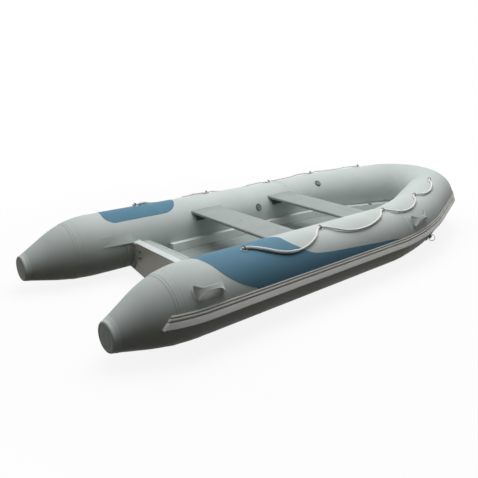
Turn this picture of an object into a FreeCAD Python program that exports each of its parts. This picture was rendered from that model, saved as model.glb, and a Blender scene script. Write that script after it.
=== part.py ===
# Rigid inflatable boat of the four metre class, built to real size.
# Construction frame: X forward along the keel, Y to port, Z up, lengths in millimetres.
# X starts at the joint between cone and side tube, Z at the ground under the tubes.
import FreeCAD, Part
import math
import os
import Sketcher
from FreeCAD import Placement, Rotation, Vector

doc = FreeCAD.newDocument("InflatableBoat")
sheet = doc.addObject("Spreadsheet::Sheet", "Sizes")

SIZES = {
    # Air tubes
    "tube_radius": 225,
    "half_spacing": 607,
    "side_length": 1932,
    "shoulder_radius": 2048,
    "shoulder_turn": 18.8,
    "bow_straight": 563,
    "bow_rise_angle": 3.96,
    # Stern cones
    "cone_length": 508,
    "cone_end_radius": 87.5,
    "cone_drop": 63.5,
    "cone_knee": 0.678,
    "cap_sleeve": 26,
    "cap_wall": 1.5,
    "cap_depth": 14,
    "cap_round": 11,
    "cap_rim": 30,
    "cap_recess": 2,
    # Coloured fabric panels on the side tubes, counted from the cone joint
    "panel_thickness": 1,
    "panel_aft": 72,
    "panel_inner_fore": 570,
    "panel_crown_fore": 728,
    "panel_tip_setback": 95,
    # Rubbing strake, heights counted from the tube's equator
    "strake_low": -28,
    "strake_height": 82,
    "strake_seat": 22,
    "strake_flange": 5,
    "strake_band_height": 38,
    "strake_band_depth": 26,
    "strake_rib_height": 13,
    "strake_rib_depth": 14,
    "strake_groove": 9,
    "strake_round": 4,
    "strake_tail": 290,
    "strake_tail_slant": 27,
    # Rigid hull and deck
    "keel_pad": 295,
    "hull_side_rise": 42,
    "hull_top": 100,
    "hull_inset": 70,
    "hull_setback": 51.4137,
    "keel_lift_setback": 82,
    "stem_height": 92,
    "deck_height": 120,
    "deck_side_top": 182,
    "deck_side_width": 46,
    "deck_side_station": 548,
    # Transom
    "transom_station": 228,
    "transom_top": 250,
    "transom_thickness": 54,
    "transom_rake": 5,
    "transom_corner": 20,
    "cap_strip": 10,
    "shelf_gap": 10,
    "shelf_depth": 92,
    "shelf_bow": 18,
    "shelf_top": 249,
    # Transom holders and the fins behind them
    "holder_flange_length": 58,
    "holder_flange": 4,
    "holder_lip": 45,
    "holder_lip_thickness": 8,
    "holder_foot": 45,
    "fin_length": 238,
    "fin_top": 98,
    "fin_low": 31,
    "fin_edge": 5,
    "fin_root": 203,
    "fin_tip": 223,
    "fin_overhang": 14,
    # Eyes on the transom's aft face
    "eye_height": 175,
    "eye_inset": 77,
    "eye_span": 50,
    "eye_reach": 34,
    "eye_rod": 4,
    "eye_washer": 8.8,
    "eye_washer_thickness": 2.4,
    # Benches
    "bench_rise": 162,
    "bench_width": 294,
    "bench_thickness": 22,
    "bench_edge": 5,
    "bench_gap": 1.5,
    "bench_aft_station": 795,
    "bench_fore_setback": 280,
    "bracket_depth": 62,
    "bracket_inset": 26,
    "bracket_top_reach": 52,
    "bracket_foot_reach": 30,
    # Valves
    "valve_radius": 31,
    "valve_height": 9,
    "valve_cap_radius": 21,
    "valve_rim": 5,
    "valve_groove": 2.5,
    "valve_seat": 6,
    "valve_aft_setback": 428,
    "valve_aft_angle": 157,
    "valve_fore_ahead": 428,
    "valve_fore_angle": 131.5,
    # Lifeline holders, stations from the cone joint or ahead of the bow seam
    "holder_station_one": 400,
    "holder_station_two": 1100,
    "holder_station_three": 1850,
    "holder_ahead_four": 468,
    "holder_ahead_five": 1038,
    "holder_angle": 82,
    "holder_radius": 26,
    "holder_plate": 4,
    "holder_seat": 8,
    "holder_eye": 11,
    "holder_rod": 4,
    # Lifeline
    "rope_radius": 7,
    "rope_gap": 4,
    "rope_entry": 30,
    "rope_tail": 18,
    "rope_clearance": 0.5,
    "rope_stand_off": 5,
    # Grab handles
    "handle_stern_station": 10,
    "handle_bow_ahead": 208,
    "handle_angle": 34,
    "handle_half_length": 92,
    "handle_foot_width": 66,
    "handle_waist": 26,
    "handle_rise": 34,
    "handle_thickness": 9,
    # Towing rings
    "ring_ahead": 440,
    "ring_angle": -26,
    "ring_radius": 28,
    "ring_rod": 3,
    "ring_bar_offset": 11,
    "ring_patch": 48,
    "ring_patch_plate": 3,
    "ring_patch_seat": 14,
    "ring_clearance": 0.4,
    "ring_loop_wall": 4.8,
    "ring_loop_width": 26,
}
for row, (alias, value) in enumerate(SIZES.items(), start=1):
    sheet.set(f"A{row}", alias)
    sheet.set(f"B{row}", str(value))
    sheet.setAlias(f"B{row}", alias)
doc.recompute()


def size(alias):
    return float(sheet.get(alias))


AXIS_X = Vector(1, 0, 0)
AXIS_Y = Vector(0, 1, 0)
AXIS_Z = Vector(0, 0, 1)
STARBOARD = -1
PORT = 1
SIDES = {"port": PORT, "starboard": STARBOARD}

radius = size("tube_radius")
spacing = size("half_spacing")
side_length = size("side_length")
rise = math.radians(size("bow_rise_angle"))
turn = math.radians(size("shoulder_turn"))
shoulder = size("shoulder_radius")
bow_straight = size("bow_straight")
bow_radius = (spacing - shoulder * (1 - math.cos(turn)) - bow_straight * math.sin(turn)) / math.cos(turn)
bow_tip = (side_length + shoulder * math.sin(turn) + bow_straight * math.cos(turn)
           + bow_radius * (1 - math.sin(turn)))
overrun = radius


# Pieces that go out as files, by name
pieces = {}


def bind(item, **formulas):
    for name, formula in formulas.items():
        item.setExpression(name, formula)


def keep(item, label):
    item.Label = label
    pieces[label] = item
    return item


def solid(name, shape, placement=None):
    item = doc.addObject("Part::Feature", name)
    item.Shape = shape
    if placement is not None:
        item.Placement = placement
    return item


def cut(name, base, *tools):
    for number, tool in enumerate(tools):
        item = doc.addObject("Part::Cut", f"{name}_cut{number}")
        item.Base = base
        item.Tool = tool
        base = item
    return base


def fuse(name, *items):
    item = doc.addObject("Part::MultiFuse", name)
    item.Shapes = list(items)
    return item


# Centreline of the tube

def bow_outline(offset, start):
    """Half of the bow's plan, from x = start to the stem, moved outward by offset."""
    half = spacing + offset
    first_end = Vector(0, -half, 0)
    first_radius = shoulder + offset
    first_centre = Vector(0, -spacing + shoulder, 0)
    first_middle = first_centre + first_radius * Vector(math.sin(turn / 2), -math.cos(turn / 2), 0)
    second_start = first_centre + first_radius * Vector(math.sin(turn), -math.cos(turn), 0)
    second_end = second_start + bow_straight * Vector(math.cos(turn), math.sin(turn), 0)
    bow_centre = Vector(second_end.x - (bow_radius + offset) * math.sin(turn), 0, 0)
    stem = bow_centre + Vector(bow_radius + offset, 0, 0)
    return {
        "start": Vector(start, -half, 0),
        "first_end": first_end,
        "first_middle": first_middle,
        "second_start": second_start,
        "second_end": second_end,
        "stem": stem,
    }


def mirrored(point):
    return Vector(point.x, -point.y, point.z)


def bow_edges(offset, start):
    outline = bow_outline(offset, start)
    port = {name: mirrored(point) for name, point in outline.items()}
    return [
        Part.LineSegment(outline["start"], outline["first_end"]).toShape(),
        Part.Arc(outline["first_end"], outline["first_middle"], outline["second_start"]).toShape(),
        Part.LineSegment(outline["second_start"], outline["second_end"]).toShape(),
        Part.Arc(outline["second_end"], outline["stem"], port["second_end"]).toShape(),
        Part.LineSegment(port["second_end"], port["second_start"]).toShape(),
        Part.Arc(port["second_start"], port["first_middle"], port["first_end"]).toShape(),
        Part.LineSegment(port["first_end"], port["start"]).toShape(),
    ]


bow_frame = Placement(Vector(side_length, 0, radius), Rotation(AXIS_Y, -math.degrees(rise)))
mitre_frame = Placement(Vector(side_length, 0, radius), Rotation(AXIS_Y, -math.degrees(rise) / 2))

first_arc = shoulder * turn


def centreline(distance):
    """Point, forward direction and outward direction on the starboard centreline."""
    along = distance - side_length
    outline = bow_outline(0, 0)
    if along <= 0:
        return Vector(distance, -spacing, radius), AXIS_X, Vector(0, -1, 0), AXIS_Z
    if along <= first_arc:
        heading = along / shoulder
        point = outline["first_end"] + shoulder * Vector(math.sin(heading), 1 - math.cos(heading), 0)
    elif along <= first_arc + bow_straight:
        heading = turn
        ahead = along - first_arc
        point = outline["second_start"] + ahead * Vector(math.cos(turn), math.sin(turn), 0)
    else:
        heading = turn + (along - first_arc - bow_straight) / bow_radius
        centre = Vector(outline["stem"].x - bow_radius, 0, 0)
        point = centre + bow_radius * Vector(math.sin(heading), -math.cos(heading), 0)
    forward = Vector(math.cos(heading), math.sin(heading), 0)
    outward = Vector(math.sin(heading), -math.cos(heading), 0)
    turned = bow_frame.Rotation
    return (
        bow_frame.multVec(point),
        turned.multVec(forward),
        turned.multVec(outward),
        turned.multVec(AXIS_Z),
    )


def on_tube(distance, angle, lift, side):
    """Point on the tube's side: angle counts up from the outboard equator."""
    point, forward, outward, upward = centreline(distance)
    bearing = math.radians(angle)
    normal = math.cos(bearing) * outward + math.sin(bearing) * upward
    place = point + (radius + lift) * normal
    return place if side == STARBOARD else mirrored(place)


def tube_seat(distance, angle, side):
    """Local frame on the tube: X forward along it, Z straight out of it."""
    point, forward, outward, upward = centreline(distance)
    bearing = math.radians(angle)
    normal = math.cos(bearing) * outward + math.sin(bearing) * upward
    place = point + radius * normal
    if side == PORT:
        place = mirrored(place)
        forward = mirrored(forward)
        normal = mirrored(normal)
    sideways = normal.cross(forward)
    return Placement(place, Rotation(forward, sideways, normal, "ZXY"))


# Air tubes

def half_space(name, frame, ahead):
    block = doc.addObject("Part::Box", name)
    bind(block, Length="Sizes.side_length", Width="4 * Sizes.half_spacing", Height="6 * Sizes.tube_radius")
    shift = Vector(0 if ahead else -side_length, -2 * spacing, -3 * radius)
    block.Placement = frame.multiply(Placement(shift, Rotation()))
    return block


ahead_of_mitre = half_space("ahead_of_mitre", mitre_frame, True)
astern_of_mitre = half_space("astern_of_mitre", mitre_frame, False)

tubes = {}
for side_name, side in SIDES.items():
    bar = doc.addObject("Part::Cylinder", f"side_bar_{side_name}")
    bind(bar, Radius="Sizes.tube_radius", Height="Sizes.side_length + Sizes.tube_radius")
    bar.Placement = Placement(Vector(0, side * spacing, radius), Rotation(AXIS_Y, 90))
    tubes[side_name] = keep(cut(f"tube_{side_name}", bar, ahead_of_mitre), f"tube_{side_name}")

bow_path = solid("bow_path", Part.Wire(bow_edges(0, -overrun)), bow_frame)
bow_section = doc.addObject("Part::Circle", "bow_section")
bind(bow_section, Radius="Sizes.tube_radius")
bow_section.Placement = bow_frame.multiply(
    Placement(Vector(-overrun, -spacing, 0), Rotation(AXIS_Y, 90)))
bow_sweep = doc.addObject("Part::Sweep", "bow_sweep")
bow_sweep.Sections = [bow_section]
bow_sweep.Spine = (bow_path, [f"Edge{number}" for number in range(1, 8)])
bow_sweep.Solid = True
bow_sweep.Frenet = False
tube_bow = keep(cut("tube_bow", bow_sweep, astern_of_mitre), "tube_bow")
tubes["bow"] = tube_bow


# Stern cones: they taper and drop in a rounded shoulder, then run straight

def cone_fall(share):
    knee = size("cone_knee")
    slope = 1 / ((1 - knee) + knee / 2)
    if share < knee:
        return slope / (2 * knee) * share ** 2
    return 1 - slope * (1 - share)


CONE_STEPS = 8
cones = {}
for side_name, side in SIDES.items():
    rings = []
    for step in range(CONE_STEPS + 1):
        share = step / CONE_STEPS
        fall = round(cone_fall(share), 5)
        ring = doc.addObject("Part::Circle", f"cone_ring_{side_name}_{step}")
        bind(ring, Radius=f"Sizes.tube_radius + (Sizes.cone_end_radius - Sizes.tube_radius) * {fall}")
        place = Vector(-share * size("cone_length"), side * spacing, radius - fall * size("cone_drop"))
        ring.Placement = Placement(place, Rotation(AXIS_Y, -90))
        rings.append(ring)
    loft = doc.addObject("Part::Loft", f"cone_{side_name}_loft")
    loft.Sections = rings
    loft.Solid = True
    loft.Ruled = False
    cones[side_name] = keep(loft, f"cone_{side_name}")


# Small helpers for sketched bodies

def sketch_on(body, name, plane):
    drawing = body.newObject("Sketcher::SketchObject", name)
    flat = [item for item in body.Origin.OriginFeatures if item.Role == plane][0]
    drawing.AttachmentSupport = [(flat, "")]
    drawing.MapMode = "FlatFace"
    return drawing


def draw_outline(drawing, corners):
    """Closed polygon; each corner is a pair of formulas bound to the sheet."""
    values = [(evaluate(across), evaluate(up)) for across, up in corners]
    count = len(corners)
    for number in range(count):
        start = Vector(*values[number], 0)
        end = Vector(*values[(number + 1) % count], 0)
        drawing.addGeometry(Part.LineSegment(start, end), False)
    for number in range(count):
        drawing.addConstraint(
            Sketcher.Constraint("Coincident", number, 2, (number + 1) % count, 1))
    for number, (across, up) in enumerate(corners):
        for kind, formula, value in (
            ("DistanceX", across, values[number][0]),
            ("DistanceY", up, values[number][1]),
        ):
            index = drawing.addConstraint(
                Sketcher.Constraint(kind, -1, 1, number, 1, value))
            drawing.setExpression(f"Constraints[{index}]", formula)


def evaluate(formula):
    text = formula
    for alias in sorted(SIZES, key=len, reverse=True):
        text = text.replace(f"Sizes.{alias}", repr(size(alias)))
    total = FreeCAD.Units.Quantity(text)
    return float(total.Value)


def new_body(name):
    body = doc.addObject("PartDesign::Body", name)
    return body


def pad_body(name, plane, corners, length, both_ways=False):
    body = new_body(name)
    drawing = sketch_on(body, f"{name}_outline", plane)
    draw_outline(drawing, corners)
    pad = body.newObject("PartDesign::Pad", f"{name}_pad")
    pad.Profile = drawing
    bind(pad, Length=length)
    if both_ways:
        pad.Midplane = True
    return body, pad


def turned_body(name, corners):
    """Solid of revolution about the body's own Z axis."""
    body = new_body(name)
    drawing = sketch_on(body, f"{name}_profile", "XZ_Plane")
    draw_outline(drawing, corners)
    turn_round = body.newObject("PartDesign::Revolution", f"{name}_turned")
    turn_round.Profile = drawing
    turn_round.ReferenceAxis = (drawing, ["V_Axis"])
    turn_round.Angle = 360
    return body


# Cone caps: a rubber cup over the cone's end, with a raised rim

cap_share = 1 - size("cap_sleeve") / size("cone_length")
cap_fall = round(cone_fall(cap_share), 5)
for side_name, side in SIDES.items():
    rings = []
    for place, share, fall in (("mouth", cap_share, cap_fall), ("end", 1, 1)):
        ring = doc.addObject("Part::Circle", f"cap_ring_{place}_{side_name}")
        bind(ring, Radius="Sizes.tube_radius + Sizes.cap_wall"
                          f" + (Sizes.cone_end_radius - Sizes.tube_radius) * {fall}")
        ring.Placement = Placement(
            Vector(-share * size("cone_length"), side * spacing, radius - fall * size("cone_drop")),
            Rotation(AXIS_Y, -90))
        rings.append(ring)
    sleeve = doc.addObject("Part::Loft", f"cap_sleeve_{side_name}")
    sleeve.Sections = rings
    sleeve.Solid = True
    cup = turned_body(f"cap_cup_{side_name}", [
        ("0", "0"),
        ("Sizes.cone_end_radius + Sizes.cap_wall", "0"),
        ("Sizes.cone_end_radius + Sizes.cap_wall", "Sizes.cap_depth"),
        ("Sizes.cone_end_radius - Sizes.cap_rim", "Sizes.cap_depth"),
        ("Sizes.cone_end_radius - Sizes.cap_rim - Sizes.cap_recess", "Sizes.cap_depth - Sizes.cap_recess"),
        ("0", "Sizes.cap_depth - Sizes.cap_recess"),
    ])
    cup.Placement = Placement(
        Vector(-size("cone_length"), side * spacing, radius - size("cone_drop")),
        Rotation(AXIS_Y, -90))
    doc.recompute()
    lip_x = -size("cone_length") - size("cap_depth")
    lip_radius = size("cone_end_radius") + size("cap_wall")
    lips = [number for number, edge in enumerate(cup.Shape.Edges, start=1)
            if abs(edge.BoundBox.XMax - lip_x) < 0.01 and abs(edge.BoundBox.YLength / 2 - lip_radius) < 0.01]
    rounded = doc.addObject("Part::Fillet", f"cap_rounded_{side_name}")
    rounded.Base = cup
    rounded.Edges = [(number, size("cap_round"), size("cap_round")) for number in lips]
    cap = fuse(f"cap_blank_{side_name}", sleeve, rounded)
    keep(cut(f"cone_cap_{side_name}", cap, cones[side_name]), f"cone_cap_{side_name}")


# Rubbing strake: broad band, groove and rib on a flange, seated on the tube

BAND_TOP = "Sizes.strake_low + Sizes.strake_band_height"
RIB_LOW = f"{BAND_TOP} + Sizes.strake_groove"
RIB_TOP = f"{RIB_LOW} + Sizes.strake_rib_height"
STRAKE = [
    ("Sizes.tube_radius - Sizes.strake_seat", "Sizes.strake_low"),
    ("Sizes.tube_radius + Sizes.strake_band_depth - Sizes.strake_round", "Sizes.strake_low"),
    ("Sizes.tube_radius + Sizes.strake_band_depth", "Sizes.strake_low + Sizes.strake_round"),
    ("Sizes.tube_radius + Sizes.strake_band_depth", f"{BAND_TOP} - Sizes.strake_round"),
    ("Sizes.tube_radius + Sizes.strake_band_depth - Sizes.strake_round", BAND_TOP),
    ("Sizes.tube_radius + Sizes.strake_flange", BAND_TOP),
    ("Sizes.tube_radius + Sizes.strake_flange", RIB_LOW),
    ("Sizes.tube_radius + Sizes.strake_rib_depth", RIB_LOW),
    ("Sizes.tube_radius + Sizes.strake_rib_depth - Sizes.strake_round", RIB_TOP),
    ("Sizes.tube_radius + Sizes.strake_flange - Sizes.strake_round", RIB_TOP),
    ("Sizes.tube_radius", "Sizes.strake_low + Sizes.strake_height"),
    ("Sizes.tube_radius - Sizes.strake_seat", "Sizes.strake_low + Sizes.strake_height"),
]
strake_points = [Vector(evaluate(across), evaluate(up), 0) for across, up in STRAKE]


def strake_ring(station, side):
    """The strake's section standing across the tube at a station."""
    corners = [Vector(station, side * (spacing + point.x), point.y) for point in strake_points]
    return Part.makePolygon(corners + corners[:1])


def strake_run(name, path, edges, section):
    run = doc.addObject("Part::Sweep", name)
    run.Sections = [section]
    run.Spine = (path, [f"Edge{number}" for number in range(1, edges + 1)])
    run.Solid = True
    run.Frenet = False
    return run


# Aft of the cone joint the strake bends inward with the cone's own curvature
knee = size("cone_knee")
cone_taper = radius - size("cone_end_radius")
cone_bend = size("cone_length") ** 2 * knee * (1 - knee / 2) / cone_taper
tail_turn = 1.3 * size("strake_tail") / cone_bend
tail_radius = cone_bend - radius
strakes = {}
for side_name, side in SIDES.items():
    centre_y = side * (spacing - tail_radius)
    tail_middle = Vector(-tail_radius * math.sin(tail_turn / 2),
                         centre_y + side * tail_radius * math.cos(tail_turn / 2), 0)
    tail_end = Vector(-tail_radius * math.sin(tail_turn),
                      centre_y + side * tail_radius * math.cos(tail_turn), 0)
    run_start = Vector(side_length + overrun, side * spacing, 0)
    joint = Vector(0, side * spacing, 0)
    side_path = solid(f"strake_path_{side_name}", Part.Wire([
        Part.LineSegment(run_start, joint).toShape(),
        Part.Arc(joint, tail_middle, tail_end).toShape(),
    ]), Placement(Vector(0, 0, radius), Rotation()))
    side_ring = solid(f"strake_ring_{side_name}", strake_ring(side_length + overrun, side),
                      Placement(Vector(0, 0, radius), Rotation()))
    run = strake_run(f"strake_run_{side_name}", side_path, 2, side_ring)
    slant = doc.addObject("Part::Box", f"strake_slant_{side_name}")
    bind(slant, Length="Sizes.side_length", Width="4 * Sizes.half_spacing", Height="6 * Sizes.tube_radius")
    low_corner = Vector(-size("strake_tail"), 0, radius + size("strake_low"))
    slant.Placement = Placement(low_corner, Rotation(AXIS_Y, size("strake_tail_slant"))).multiply(
        Placement(Vector(-side_length, -2 * spacing, -3 * radius), Rotation()))
    strakes[side_name] = keep(
        cut(f"strake_{side_name}", run, slant, ahead_of_mitre, tubes[side_name], cones[side_name]),
        f"strake_{side_name}")

bow_ring = solid("strake_ring_bow", strake_ring(-overrun, STARBOARD), bow_frame)
bow_run = strake_run("strake_run_bow", bow_path, 7, bow_ring)
keep(cut("strake_bow", bow_run, astern_of_mitre, tube_bow), "strake_bow")


# Coloured panels: fabric glued over the side tubes, from the strake up over the crown

def smooth_outline(first, second, close_low):
    """Closed wire from two smooth edges joined by straight lines at both ends."""
    curves = []
    for points in (first, second):
        curve = Part.BSplineCurve()
        curve.interpolate([Vector(*point) for point in points])
        curves.append(curve.toShape())
    start = Vector(*first[-1])
    end = Vector(*second[-1])
    edges = curves + [Part.LineSegment(start, end).toShape()]
    if close_low:
        edges.append(Part.LineSegment(Vector(*first[0]), Vector(*second[0])).toShape())
    return Part.Wire(Part.__sortEdges__(edges))


def panel_outlines():
    """Side view below the crown and plan view above it; both in tube coordinates."""
    aft = size("panel_aft")
    crown = size("panel_crown_fore")
    tip = side_length - size("panel_tip_setback")
    inner = size("panel_inner_fore")
    low = size("strake_low") + size("strake_height") - 8
    over = radius + 15
    span = tip - crown
    side_aft = [(aft + 350, low), (aft + 222, 73), (aft + 134, 121), (aft + 59, 180),
                (aft + 23, 219), (aft + 11, 226), (aft - 13, over)]
    side_fore = [(crown + 1.06 * span, low), (crown + 0.9 * span, 62), (crown + 0.76 * span, 73),
                 (crown + 0.62 * span, 86), (crown + 0.417 * span, 104), (crown + 0.209 * span, 125),
                 (crown + 0.1 * span, 155), (crown + 0.05 * span, 187), (crown + 5, 221),
                 (crown - 6, over)]
    plan_aft = [(aft + 21, 40), (aft + 12, 0), (aft, -58), (aft + 5, -102), (aft + 30, -127),
                (aft + 90, -140)]
    plan_fore = [(crown + 2, 40), (crown + 3, 0), (crown - 26, -58), (crown - 60, -102),
                 (crown - 104, -128), (inner, -140)]
    return side_aft, side_fore, plan_aft, plan_fore


side_aft, side_fore, plan_aft, plan_fore = panel_outlines()
panels = {}
for side_name, side in SIDES.items():
    outer_skin = doc.addObject("Part::Cylinder", f"panel_outer_{side_name}")
    bind(outer_skin, Radius="Sizes.tube_radius + Sizes.panel_thickness", Height="Sizes.side_length")
    outer_skin.Placement = Placement(Vector(0, side * spacing, radius), Rotation(AXIS_Y, 90))
    side_wire = smooth_outline([(along, 0, up) for along, up in side_aft],
                               [(along, 0, up) for along, up in side_fore], True)
    side_prism = Part.Face(side_wire).extrude(Vector(0, side * 1.2 * radius, 0))
    plan_wire = smooth_outline([(along, side * out, 0) for along, out in plan_aft],
                               [(along, side * out, 0) for along, out in plan_fore], True)
    plan_prism = Part.Face(plan_wire).extrude(Vector(0, 0, 1.2 * radius))
    on_axis = Placement(Vector(0, side * spacing, radius), Rotation())
    side_form = solid(f"panel_side_{side_name}", side_prism, on_axis)
    plan_form = solid(f"panel_plan_{side_name}", plan_prism, on_axis)
    skins = []
    for form_name, form in (("side", side_form), ("crown", plan_form)):
        skin = doc.addObject("Part::MultiCommon", f"panel_skin_{form_name}_{side_name}")
        skin.Shapes = [outer_skin, form]
        skins.append(skin)
    blank = fuse(f"panel_blank_{side_name}", *skins)
    panels[side_name] = keep(
        cut(f"panel_{side_name}", blank, tubes[side_name], strakes[side_name]), f"panel_{side_name}")


# Rigid hull: flat keel pad aft, rising to a veed stem under the bow tube

def inner_plan(offset, aft):
    """Closed plan outline at a distance inside the tube's centreline."""
    edges = bow_edges(-offset, aft - side_length)
    last = edges[-1].Vertexes[-1].Point
    first = edges[0].Vertexes[0].Point
    edges.append(Part.LineSegment(last, first).toShape())
    wire = Part.Wire(edges)
    wire.translate(Vector(side_length, 0, 0))
    return wire


def plan_block(name, offset, aft, low, high):
    face = Part.Face(inner_plan(offset, aft))
    face.translate(Vector(0, 0, low))
    return solid(name, face.extrude(Vector(0, 0, high - low)))


hull_top = size("hull_top")
hull_reach = bow_tip - size("hull_setback")
keel_lift_station = side_length - size("keel_lift_setback")
deck_height = size("deck_height")
transom_station = size("transom_station")
transom_top = size("transom_top")
rake = math.radians(size("transom_rake"))
HULL_SECTIONS = 7
hull_wires = []
for number in range(HULL_SECTIONS + 1):
    share = number / HULL_SECTIONS
    station = transom_station + share * (hull_reach - transom_station)
    lift = max(0.0, station - keel_lift_station) / (hull_reach - keel_lift_station)
    keel = size("stem_height") * lift ** 2
    pad = size("keel_pad") * (1 - 0.93 * share ** 2)
    tube_rise = max(0.0, station - side_length) * math.sin(rise)
    wide = spacing
    pad_height = keel + (tube_rise + size("hull_side_rise") - keel) * 0.25 * lift
    side_height = size("hull_side_rise") + tube_rise
    corners = [
        Vector(station, 0, keel), Vector(station, pad, pad_height), Vector(station, wide, side_height),
        Vector(station, wide, hull_top + tube_rise), Vector(station, -wide, hull_top + tube_rise),
        Vector(station, -wide, side_height), Vector(station, -pad, pad_height),
        Vector(station, 0, keel),
    ]
    hull_wires.append(Part.makePolygon(corners))
hull_form = solid("hull_form", Part.makeLoft(hull_wires, True, False))

transom_frame = Placement(
    Vector(transom_station, 0, transom_top), Rotation(AXIS_Y, -size("transom_rake")))
aft_block = doc.addObject("Part::Box", "aft_of_hull")
bind(aft_block, Length="Sizes.side_length", Width="4 * Sizes.half_spacing", Height="6 * Sizes.tube_radius")
aft_block.Placement = transom_frame.multiply(Placement(
    Vector(size("transom_thickness") - side_length, -2 * spacing, -4 * radius), Rotation()))

ground = doc.addObject("Part::Box", "ground")
bind(ground, Length="3 * Sizes.side_length", Width="4 * Sizes.half_spacing", Height="Sizes.tube_radius")
ground.Placement = Placement(Vector(-side_length / 2, -2 * spacing, -radius), Rotation())

hull_plan = plan_block("hull_plan", size("hull_inset"), 0, -50, hull_top)
hull_common = doc.addObject("Part::MultiCommon", "hull_common")
hull_common.Shapes = [hull_form, hull_plan]
keep(cut("hull", hull_common, aft_block, ground, tubes["port"], tubes["starboard"], tube_bow), "hull")

# Deck moulding: a level sole with raised shoulders along the tubes
sole = plan_block("deck_sole", size("hull_inset"), 0, hull_top, deck_height)
shoulder_outer = plan_block("shoulder_outer", size("hull_inset"), size("deck_side_station"),
                            deck_height, size("deck_side_top"))
shoulder_reach = math.sqrt(radius ** 2 - (radius - size("deck_side_top")) ** 2) + size("deck_side_width")
shoulder_inner = plan_block("shoulder_inner", shoulder_reach, 0,
                            deck_height - 1, size("deck_side_top") + 1)
keep(cut("deck", sole, aft_block, tubes["port"], tubes["starboard"], tube_bow), "deck")
for side_name, side in SIDES.items():
    half = doc.addObject("Part::Box", f"deck_half_{side_name}")
    bind(half, Length="3 * Sizes.side_length", Width="2 * Sizes.half_spacing", Height="Sizes.tube_radius")
    half.Placement = Placement(
        Vector(0, 0 if side == PORT else -2 * spacing, deck_height), Rotation())
    strip = doc.addObject("Part::MultiCommon", f"deck_strip_{side_name}")
    strip.Shapes = [shoulder_outer, half]
    keep(cut(f"deck_side_{side_name}", strip, shoulder_inner, tubes[side_name], tube_bow),
         f"deck_side_{side_name}")


# Transom: raked plank, capping strip, shelf and side brackets

transom_drop = transom_top / math.cos(rake)
plank, plank_pad = pad_body("transom_body", "YZ_Plane", [
    ("-Sizes.half_spacing", "0"),
    ("Sizes.half_spacing", "0"),
    ("Sizes.half_spacing", f"Sizes.hull_side_rise + Sizes.transom_corner - {transom_drop}"),
    ("Sizes.keel_pad", f"0 - {transom_drop}"),
    ("-Sizes.keel_pad", f"0 - {transom_drop}"),
    ("-Sizes.half_spacing", f"Sizes.hull_side_rise + Sizes.transom_corner - {transom_drop}"),
], "Sizes.transom_thickness")
plank.Placement = transom_frame
keep(cut("transom", plank, ground, tubes["port"], tubes["starboard"]), "transom")

strip, strip_pad = pad_body("transom_cap_body", "YZ_Plane", [
    ("-Sizes.half_spacing", "0"),
    ("Sizes.half_spacing", "0"),
    ("Sizes.half_spacing", "Sizes.cap_strip"),
    ("-Sizes.half_spacing", "Sizes.cap_strip"),
], "Sizes.transom_thickness")
strip.Placement = transom_frame
keep(cut("transom_cap", strip, tubes["port"], tubes["starboard"]), "transom_cap")

shelf_aft = transom_station + size("transom_thickness") + size("shelf_gap")
shelf_fore = shelf_aft + size("shelf_depth")
shelf_edge = [
    Part.LineSegment(Vector(shelf_aft, spacing, 0), Vector(shelf_aft, -spacing, 0)).toShape(),
    Part.LineSegment(Vector(shelf_aft, -spacing, 0), Vector(shelf_fore, -spacing, 0)).toShape(),
    Part.Arc(Vector(shelf_fore, -spacing, 0), Vector(shelf_fore + 2 * size("shelf_bow"), 0, 0),
             Vector(shelf_fore, spacing, 0)).toShape(),
    Part.LineSegment(Vector(shelf_fore, spacing, 0), Vector(shelf_aft, spacing, 0)).toShape(),
]
shelf_face = Part.Face(Part.Wire(shelf_edge))
shelf_face.translate(Vector(0, 0, deck_height))
shelf_block = solid("shelf_block", shelf_face.extrude(Vector(0, 0, size("shelf_top") - deck_height)))
keep(cut("transom_shelf", shelf_block, aft_block, tubes["port"], tubes["starboard"]), "transom_shelf")

# Holders: a curved flange on the tube, a lip round the plank's edge and a fin astern of it

def slab(name, aft, fore, low, high):
    """Layer parallel to the transom's aft face, between two heights along the plank."""
    block = doc.addObject("Part::Box", name)
    block.Length = fore - aft
    bind(block, Width="4 * Sizes.half_spacing")
    block.Height = high - low
    block.Placement = transom_frame.multiply(Placement(Vector(aft, -2 * spacing, low), Rotation()))
    return block


def round_tube(name, side_name, side, layer, clip):
    """Part of a sleeve round the side tube that lies inside the clip."""
    sleeve = doc.addObject("Part::Cylinder", f"{name}_sleeve_{side_name}")
    bind(sleeve, Radius=f"Sizes.tube_radius + {layer}", Height="2 * Sizes.side_length")
    sleeve.Placement = Placement(
        Vector(-side_length, side * spacing, radius), Rotation(AXIS_Y, 90))
    part = doc.addObject("Part::MultiCommon", f"{name}_{side_name}")
    part.Shapes = [sleeve, clip]
    return part


def fin_section(station, side, reach):
    """Outline across the tube: it leaves the tube at a tangent and ends in a blunt edge."""
    root = size("fin_root")
    low = size("fin_low")
    corners = [(root, size("fin_top")), (reach, low + size("fin_edge")), (reach, low), (root, low)]
    points = [Vector(station, side * (spacing - across), radius + up) for across, up in corners]
    return Part.makePolygon(points + points[:1])


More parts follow.
